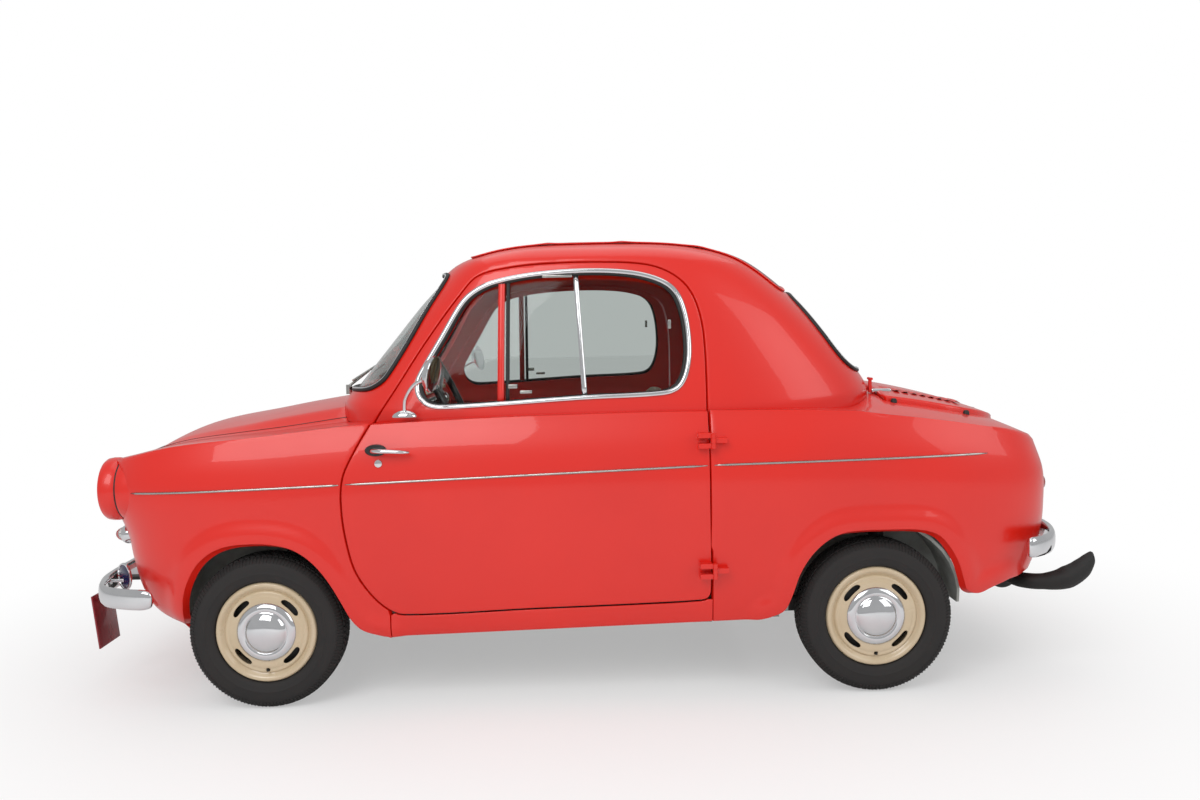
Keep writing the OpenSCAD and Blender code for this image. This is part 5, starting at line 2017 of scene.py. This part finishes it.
@dataclass
class NoseTrim:
    """Grille, badges, plates and bright strips.

    Attributes:
        bars: grille bars.
        pitch: from one bar to the next.
    """

    bars: int = 8
    pitch: float = 19.5

    def build(self) -> None:
        """Makes the grille, the plates and the strips."""
        y = np.linspace(-272, 272, 27)
        x = nose_x(y, 1322) + 6
        unit = sweep(np.c_[x, y, np.zeros(27)], disc_profile(4.5, 10, 0.8), (0, 0, 1), SATIN_CHROME)
        bars = repeats(unit, self.bars, SATIN_CHROME, step=(0.5, 0, self.pitch),
            origin=(0, 0, 430 - self.pitch * (self.bars - 1) / 2))
        box = round_box(562, 172, 61, (0, 430))
        rim = np.array([(nose_x(a, 1326) + (430 - b) * 0.13 - 1, a, b) for a, b in box])
        surround = sweep(evened(rim, 9), disc_profile(7, 12, 0.7), (1, 0, 0.1), CHROME, closed=True)
        # The flat black sheet behind the grille bars is painted shade for the dark space behind the opening.
        back = bevelled_box((-1290, -290, 338), (-1287, 290, 522), 1, SEAL)
        done("grille_front", [bars, surround], ["grille"])
        done("grille_back", [back])
        self._plates()
        runs = (((-1248, 607), (-662, 625)), ((358, 655), (1122, 664)))
        strips = [strip(start, end, s) for s in SIDES for start, end in runs]
        done("wing_strips", strips)

    def _plates(self) -> None:
        """Makes the blank front plate, the round badges and the blank rear plate."""
        lean = put((-1472.5, -280, 268), -6, "Y")
        front = [bevelled_box((0, -70, -160), (5, 70, 0), 1.6, PLATE, lean)]
        for z in (-154, -6):
            front.append(bevelled_box((-1.2, -66, z - 2), (1.5, 66, z + 2), 0.9, SATIN_CHROME, lean))
        front.append(bevelled_box((-1468, -296, 246), (-1396, -272, 252), 1.5, CHASSIS))
        front.append(bevelled_box((-1400, -296, 246), (-1393, -272, 330), 1.5, CHASSIS))
        badge = ahead(-1354, -376, 334) @ Matrix.Rotation(math.radians(48), 4, "X")
        front.append(lathe([(0.1, 9), (16, 8.3), (28, 6.4), (34, 4), (34, 0), (0.1, 0)], BLUE, badge, 56))
        front.append(lathe([(33, 4), (35, 7), (38.5, 7), (40, 3), (39.5, 0), (33, 0)], CHROME, badge, 56))
        front.append(bevelled_box((-1398, -384, 318), (-1357, -374, 326), 1.2, CHROME))
        done("front_plates", front, ["front_plate"])
        rear = [bevelled_box((1408, -150, 330), (1413, 150, 440), 1.6, PLATE_BLACK)]
        for z in (335, 435):
            rear.append(bevelled_box((1411, -146, z - 2), (1414, 146, z + 2), 0.9, SATIN_CHROME))
        for s in SIDES:
            rear.append(lathe([(0.1, 4), (4, 3.6), (6, 1), (6, 0), (0.1, 0)], SATIN_CHROME,
                ahead(1413, s * 120, 385, forward=False), 20))
        done("rear_plates", rear, ["rear_plate"])


# ---- cabin


def baked(piece: Piece) -> None:
    """Makes the modified shape the piece's own and clears its modifiers.

    Args:
        piece: the piece.
    """
    bpy.context.view_layer.update()
    made = bpy.data.meshes.new_from_object(piece.evaluated_get(bpy.context.evaluated_depsgraph_get()))
    piece.modifiers.clear()
    old = piece.data
    piece.data = made
    bpy.data.meshes.remove(old)


def corners_of(piece: Piece) -> Array:
    """Returns the piece's corner places."""
    return np.array([v.co for v in piece.data.vertices])


@dataclass
class Cushion:
    """One padded piece, blown up by a short cloth run.

    Attributes:
        name: the piece's name.
        low: lowest corner of its space.
        high: highest corner.
        fill: how tight it is; not used.
        turn: placing matrix in millimetres.
        replaces: CAD nodes it stands for.
        slack: how much smaller it starts.
        growth: the farthest a point may move, in metres.
    """

    name: str
    low: Point
    high: Point
    fill: float
    turn: Matrix | None = None
    replaces: tuple[str, ...] = ()
    slack: float = 13.0
    growth: float = 0.015

    def start(self) -> Piece:
        """Makes the slack shape, with the cloth run set up on it.

        Returns:
            The slack cushion.
        """
        low = [a + self.slack for a in self.low]
        high = [a - self.slack for a in self.high]
        piece = bevelled_box(low, high, 22, SEAT, self.turn)
        remesh = piece.modifiers.new("Remesh", "REMESH")
        remesh.mode, remesh.voxel_size = "VOXEL", 0.0095
        baked(piece)
        piece.data.polygons.foreach_set("use_smooth", [True] * len(piece.data.polygons))
        cloth = piece.modifiers.new("Cloth", "CLOTH")
        for key, value in {"use_pressure": True, "uniform_pressure_force": 4.0, "quality": 6,
                "tension_stiffness": 30, "bending_stiffness": 4}.items():
            setattr(cloth.settings, key, value)
        cloth.settings.effector_weights.gravity = 0.0
        cloth.point_cache.frame_end = 20
        return piece

    def finish(self, piece: Piece, rest: Array) -> None:
        """Keeps the blown-up shape, limits its growth and smooths it.

        Args:
            piece: the cushion after the cloth run.
            rest: its corner places before the run.
        """
        if piece.modifiers:
            baked(piece)
            move = corners_of(piece) - rest
            far = np.maximum(np.linalg.norm(move, axis=1, keepdims=True), 1e-9)
            now = rest + move * np.minimum(1, self.growth / far)
            piece.data.vertices.foreach_set("co", now.ravel())
        smooth = piece.modifiers.new("Subdivision", "SUBSURF")
        smooth.levels = smooth.render_levels = 1
        baked(piece)
        if not piece.data.materials:
            piece.data.materials.append(SEAT.build())
        done(self.name, [piece], self.replaces)


@dataclass
class Interior:
    """Seats, bench, dash, wheel and mat.

    Attributes:
        seat_z: underside of the seat cushions.
        lean: lean of the backrests in degrees.
    """

    seat_z: float = 390.0
    lean: float = 16.0

    def build(self) -> None:
        """Makes the whole cabin."""
        self._seats()
        self._dash()
        self._steering_wheel()
        self._mat()

    def _seats(self) -> None:
        """Makes both seats and the bench, and runs the cloth once for all of them."""
        cushions = []
        for s in SIDES:
            word = side_word(s)
            near, far = sorted((s * 55, s * 455))
            cushions.append(Cushion("seat_cushion_" + word, (-260, near, self.seat_z),
                (180, far, self.seat_z + 90), 0.6, None, ("seat_" + word,)))
            turn = put((130, 0, 430), self.lean, "Y")
            cushions.append(Cushion("seat_back_" + word, (0, near, 0), (80, far, 430), 0.6, turn))
            self._frame(s, word)
        cushions.append(Cushion("bench_cushion", (330, -430, 262), (530, 430, 360), 0.55, None, ("rear_bench",
            )))
        pieces = [cushion.start() for cushion in cushions]
        rests = [corners_of(piece) for piece in pieces]
        for now in range(1, 21):
            bpy.context.scene.frame_set(now)
        for cushion, piece, rest in zip(cushions, pieces, rests):
            cushion.finish(piece, rest)
        bpy.context.scene.frame_set(1)

    def _frame(self, side: int, word: str) -> None:
        """Makes one seat's bent tube frame.

        Args:
            side: -1 for left, 1 for right.
            word: the side in one word.
        """
        tubes = []
        for y in (80, 430):
            path = round_off3(np.array([(-235, side * y, 214), (-240, side * y, 300), (-228, side * y, 372),
                (-180, side * y, 388), (60, side * y, 388), (150, side * y, 396), (172, side * y, 372),
                (165, side * y, 300), (160, side * y, 214)], float))
            tubes.append(sweep(path, disc_profile(9, 14), (0, 1, 0), SATIN_CHROME))
        for x in (-190, 120):
            path = np.array([(x, side * 80, 384), (x, side * 250, 384), (x, side * 430, 384)], float)
            tubes.append(sweep(path, disc_profile(8, 14), (0, 0, 1), SATIN_CHROME))
        done("seat_frame_" + word, tubes)

    def _dash(self) -> None:
        """Makes the painted dash with its gauge, knobs, lid line and padded rail."""
        outline = round_off([(-600, 735), (-595, 722), (-560, 720), (-500, 722), (-484, 734), (-480, 775),
            (-486, 812), (-505, 828), (-560, 830), (-600, 828)], steps=5)
        body = [prism(outline, 436, 3, RED_INSIDE_SHADED)]
        rail = np.array([(-508, y, 830) for y in np.linspace(-430, 430, 30)])
        body.append(sweep(rail, disc_profile(12, 14, 0.6), (0, 0, 1), LEATHERCLOTH))
        gauge = ahead(-484, -245, 776, forward=False)
        body.append(lathe([(38, 2), (41, 8), (46, 9), (50, 3), (50, -6), (38, -6)], CHROME, gauge, 56))
        body.append(lathe([(0.1, 4), (38, 3.5), (38, 0), (0.1, 0)], DIAL, gauge, 48))
        body.append(bevelled_box((-479.5, -247, 776), (-478, -243, 806), 0.6, SEAL))
        knob = lathe([(0.1, 20), (6, 19), (9, 14), (7, 6), (4, 4), (4, -4), (0.1, -4)], PHENOLIC,
            ahead(0, 0, 0, forward=False), 24)
        body.append(repeats(knob, 5, PHENOLIC, step=(0, 42, 0), origin=(-482, -120, 765)))
        body.append(sweep(evened(np.array([(-480.5, a, b) for a, b in round_box(230, 62, 12, (270, 775))]), 9),
            disc_profile(1.6, 8), (1, 0, 0), CHROME, closed=True))
        done("dash_panel", body, ["dashboard"])

    def _steering_wheel(self) -> None:
        """Makes the rim, three spokes, hub and horn button."""
        place = put((-405, -245, 838), 65, "Y")
        ring = [(178 + 10.5 * math.cos(a), 10.5 * math.sin(a)) for a in np.linspace(0, 2 * math.pi, 18, False)]
        parts = [lathe(ring, PHENOLIC, place, 128)]
        for angle_deg in (0, 120, 240):
            a = math.radians(angle_deg)
            path = np.array([(r * math.cos(a), r * math.sin(a), z) for r,
                z in ((12, -22), (50, -20), (100, -10), (150, -2), (178, 0))])
            turn = np.array(place)
            path = round_off3(path @ turn[:3, :3].T + turn[:3, 3])
            parts.append(sweep(path, disc_profile(9, 12, 0.5), turn[:3, 2], PHENOLIC))
        parts.append(lathe([(0.1, -6), (18, -7), (26, -11), (29, -20), (24, -27), (0.1, -27)], PHENOLIC, place,
            48))
        parts.append(lathe([(0.1, 0), (9, -1), (14, -4), (16, -9), (0.1, -9)], CHROME, place, 40))
        done("steering_wheel_rim", parts, ["steering_wheel"], body="steering_wheel")

    def _mat(self) -> None:
        """Makes the ribbed rubber mats with Geometry Nodes ribs."""
        mats = []
        for s in SIDES:
            low, high = sorted((s * 62, s * 500))
            mats.append(bevelled_box((-560, low, 215), (300, high, 219), 1.5, MAT))
            rib = bevelled_box((-550, -1.6, 218), (290, 1.6, 221), 0.8, MAT)
            mats.append(repeats(rib, 27, MAT, step=(0, 16, 0), origin=(0, low + 11, 0)))
        done("floor_mats", mats)


# ---- running gear and engine


@dataclass
class EngineBay:
    """The air-cooled engine, its shroud and the exhaust.

    Attributes:
        fins: cooling fins on each barrel.
    """

    fins: int = 13

    def build(self) -> None:
        """Makes the engine and the exhaust."""
        parts = [bevelled_box((905, -120, 226), (1130, 120, 372), 14, CAST),
            bevelled_box((920, -182, 250), (1040, -118, 350), 16, CAST),
            bevelled_box((1000, 60, 372), (1190, 184, 512), 22, CHASSIS)]
        for y in (-60, 40):
            parts.append(lathe([(0.1, 130), (40, 130), (44, 124), (44, 0), (0.1, 0)], CAST,
                Matrix.Translation((1030, y, 372)), 40))
            fin = lathe([(42, 0), (60, 0), (60, 2.4), (42, 2.4)], CAST, Matrix.Identity(4), 40)
            parts.append(repeats(fin, self.fins, CAST, step=(0, 0, 9), origin=(1030, y, 378)))
        parts.append(lathe([(0.1, 8), (66, 8), (72, 2), (72, -18), (0.1, -18)], CHASSIS,
            ahead(1198, 122, 442, forward=False), 56))
        blade = bevelled_box((0, -2, 18), (7, 2, 62), 1, CAST, Matrix.Rotation(0.5, 4, "Z"))
        parts.append(repeats(blade, 12, CAST, turn=(30, 0, 0), origin=(1206, 122, 442)))
        parts.append(lathe([(0.1, 52), (46, 52), (52, 46), (52, 4), (46, 0), (0.1, 0)], CHASSIS,
            Matrix.Translation((1120, -100, 400)), 48))
        done("engine_unit", parts, ["engine"])
        self._exhaust()

    def _exhaust(self) -> None:
        """Makes the silencer and the tail pipe with its slanted horn."""
        along = put((1273, -330, 262), -90, "X")
        parts = [lathe([(0.1, 0), (26, 2), (42, 8), (48, 18), (48, 36), (46, 40), (48, 44), (48, 516),
            (46, 520), (48, 524), (48, 542), (42, 552), (26, 558), (0.1, 560)], HEAT_BLACK, along, 56)]
        path = round_off3(np.array([(1273, -318, 262), (1276, -360, 262), (1290, -412, 262), (1330, -446, 264),
            (1387, -458, 272), (1432, -462, 293), (1460, -464, 322), (1474, -464, 352)], float))
        n = len(path)
        width = np.interp(np.arange(n) / (n - 1), [0, 0.45, 0.62, 0.78, 0.9, 1],
            [0.8, 0.9, 1.28, 1.1, 0.75, 0.12])
        parts.append(sweep(path, disc_profile(26, 28), (0, 0.2, 1), HEAT_BLACK, width=width))
        for y in (-190, 90):
            parts.append(lathe([(48.2, -9), (50.5, -9), (50.5, 9), (48.2, 9)], CHASSIS,
                put((1273, y, 262), -90, "X"), 48))
        done("exhaust_unit", parts, ["exhaust"])


def dress_frame_nodes() -> None:
    """Gives the kept CAD nodes their finishes; their meshes stay as they are."""
    kept = {"floor_pan": UNDERSEAL, "wheelhouses": UNDERSEAL, "front_suspension": CHASSIS,
        "rear_suspension": CHASSIS, "knuckle_left": CHASSIS, "knuckle_right": CHASSIS,
        "steering_column": PHENOLIC, "hinge_pins": RED, "hinge_leaves_left": RED, "hinge_leaves_right": RED,
        "wipers": SATIN_CHROME}
    for name, finish in kept.items():
        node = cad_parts[name]
        node.data.materials.clear()
        node.data.materials.append(finish.build())
    log.info("%d CAD nodes dressed", len(kept))


# ---- studio


@dataclass
class Studio:
    """Pale floor, soft light and the camera.

    Attributes:
        place: the camera's place in metres.
        yaw: turn to the right in radians.
        pitch: downward tilt.
        roll: roll.
        lens: focal length for a 36 mm sensor.
    """

    place: Point = (0.0, -3.57, 1.049)
    yaw: float = 0.0172
    pitch: float = 0.0711
    roll: float = -0.0221
    lens: float = 32.7

    def build(self) -> None:
        """Makes the floor, the lights, the world and the camera."""
        self._floor()
        self._lights()
        self._world()
        self._camera()
        bpy.context.scene.view_settings.view_transform = "Standard"

    def _floor(self) -> None:
        """Makes the plain pale floor."""
        pale = Finish("pale_studio_floor", "#f4f4f4", "#f0f0f0", 900, 0.4, roughness=0.8)
        size = 30000
        points = [(-size, -size, -0.5), (size, -size, -0.5), (size, size, -0.5), (-size, size, -0.5)]
        floor = make_mesh(np.array(points, float), [(0, 1, 2, 3)], pale)
        tree = floor.data.materials[0].node_tree
        shader = tree.nodes["Principled BSDF"]
        shader.inputs["Specular IOR Level"].default_value = 0.0
        place = add_node(tree, "ShaderNodeTexCoord").outputs["Object"]
        far = add_node(tree, "ShaderNodeVectorMath", {0: place}, operation="LENGTH").outputs["Value"]
        fade = add_node(tree, "ShaderNodeMapRange",
            {"Value": far, "From Min": 1.0, "From Max": 2.6, "To Min": 0.4, "To Max": 1.0},
            interpolation_type="SMOOTHSTEP").outputs["Result"]
        seen = add_node(tree, "ShaderNodeLightPath").outputs["Is Camera Ray"]
        share = add_node(tree, "ShaderNodeMath", {0: fade, 1: seen}, operation="MULTIPLY").outputs[0]
        white = add_node(tree, "ShaderNodeEmission", {"Color": (1, 1, 1, 1), "Strength": 1.0}).outputs[0]
        both = add_node(tree, "ShaderNodeMixShader", {0: share, 1: shader.outputs[0], 2: white}).outputs[0]
        tree.links.new(both, tree.nodes["Material Output"].inputs["Surface"])
        floor.name = "floor"
        floor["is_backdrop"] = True

    def _lights(self) -> None:
        """Places three large soft lamps."""
        for name, at, size, power in (("key", (-1.8, -4.6, 4.2), 3.4, 138.0),
                ("fill", (4.2, -3.2, 3.0), 3.0, 50.0), ("top", (0.2, 1.0, 5.0), 5.0, 60.0)):
            data = bpy.data.lights.new(name, "AREA")
            data.shape, data.size, data.energy = "SQUARE", size, power
            lamp = placed(name, data)
            lamp.location = at
            lamp.rotation_mode = "QUATERNION"
            lamp.rotation_quaternion = (Vector((0, 0, 0.5)) - Vector(at)).to_track_quat("-Z", "Y")

    def _world(self) -> None:
        """Lights the room evenly, and shows the camera a near-white backdrop."""
        world = bpy.data.worlds.new("studio_air")
        bpy.context.scene.world = world
        world.use_nodes = True
        tree = world.node_tree
        tree.nodes.clear()
        path = add_node(tree, "ShaderNodeLightPath")
        light = add_node(tree, "ShaderNodeBackground", {"Color": (1, 1, 1, 1), "Strength": 0.52})
        seen = add_node(tree, "ShaderNodeBackground", {"Color": (1, 1, 1, 1), "Strength": 1.0})
        both = add_node(tree, "ShaderNodeMixShader",
            {0: path.outputs["Is Camera Ray"], 1: light.outputs[0], 2: seen.outputs[0]})
        add_node(tree, "ShaderNodeOutputWorld", {"Surface": both.outputs[0]})

    def _camera(self) -> None:
        """Sets the camera where the car was seen from."""
        ahead_way = Vector((math.sin(self.yaw) * math.cos(self.pitch),
            math.cos(self.yaw) * math.cos(self.pitch), -math.sin(self.pitch)))
        right = Vector((math.cos(self.yaw), -math.sin(self.yaw), 0))
        up = right.cross(ahead_way)
        across = math.cos(self.roll) * right + math.sin(self.roll) * up
        rise = -math.sin(self.roll) * right + math.cos(self.roll) * up
        data = bpy.data.cameras.new("camera")
        data.lens, data.sensor_width = self.lens, 36.0
        camera = placed("camera", data)
        turn = Matrix((across, rise, -ahead_way)).transposed().to_4x4()
        turn.translation = self.place
        camera.matrix_world = turn
        bpy.context.scene.camera = camera


def main() -> None:
    """Builds the car and the studio in order."""
    logging.basicConfig(level=logging.INFO, format="%(message)s")
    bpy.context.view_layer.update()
    Bodywork().build()
    ClothRoof().build()
    EngineLid().build()
    for side in SIDES:
        Door(side).build()
    for end, x in AXLES.items():
        for side in SIDES:
            Wheel(end, side, (x, side * HALF_TRACK, TYRE_RADIUS)).build()
    Lamps().build()
    Bumpers().build()
    NoseTrim().build()
    Interior().build()
    EngineBay().build()
    dress_frame_nodes()
    Studio().build()
    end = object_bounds()


if __name__ == "__main__":
    main()
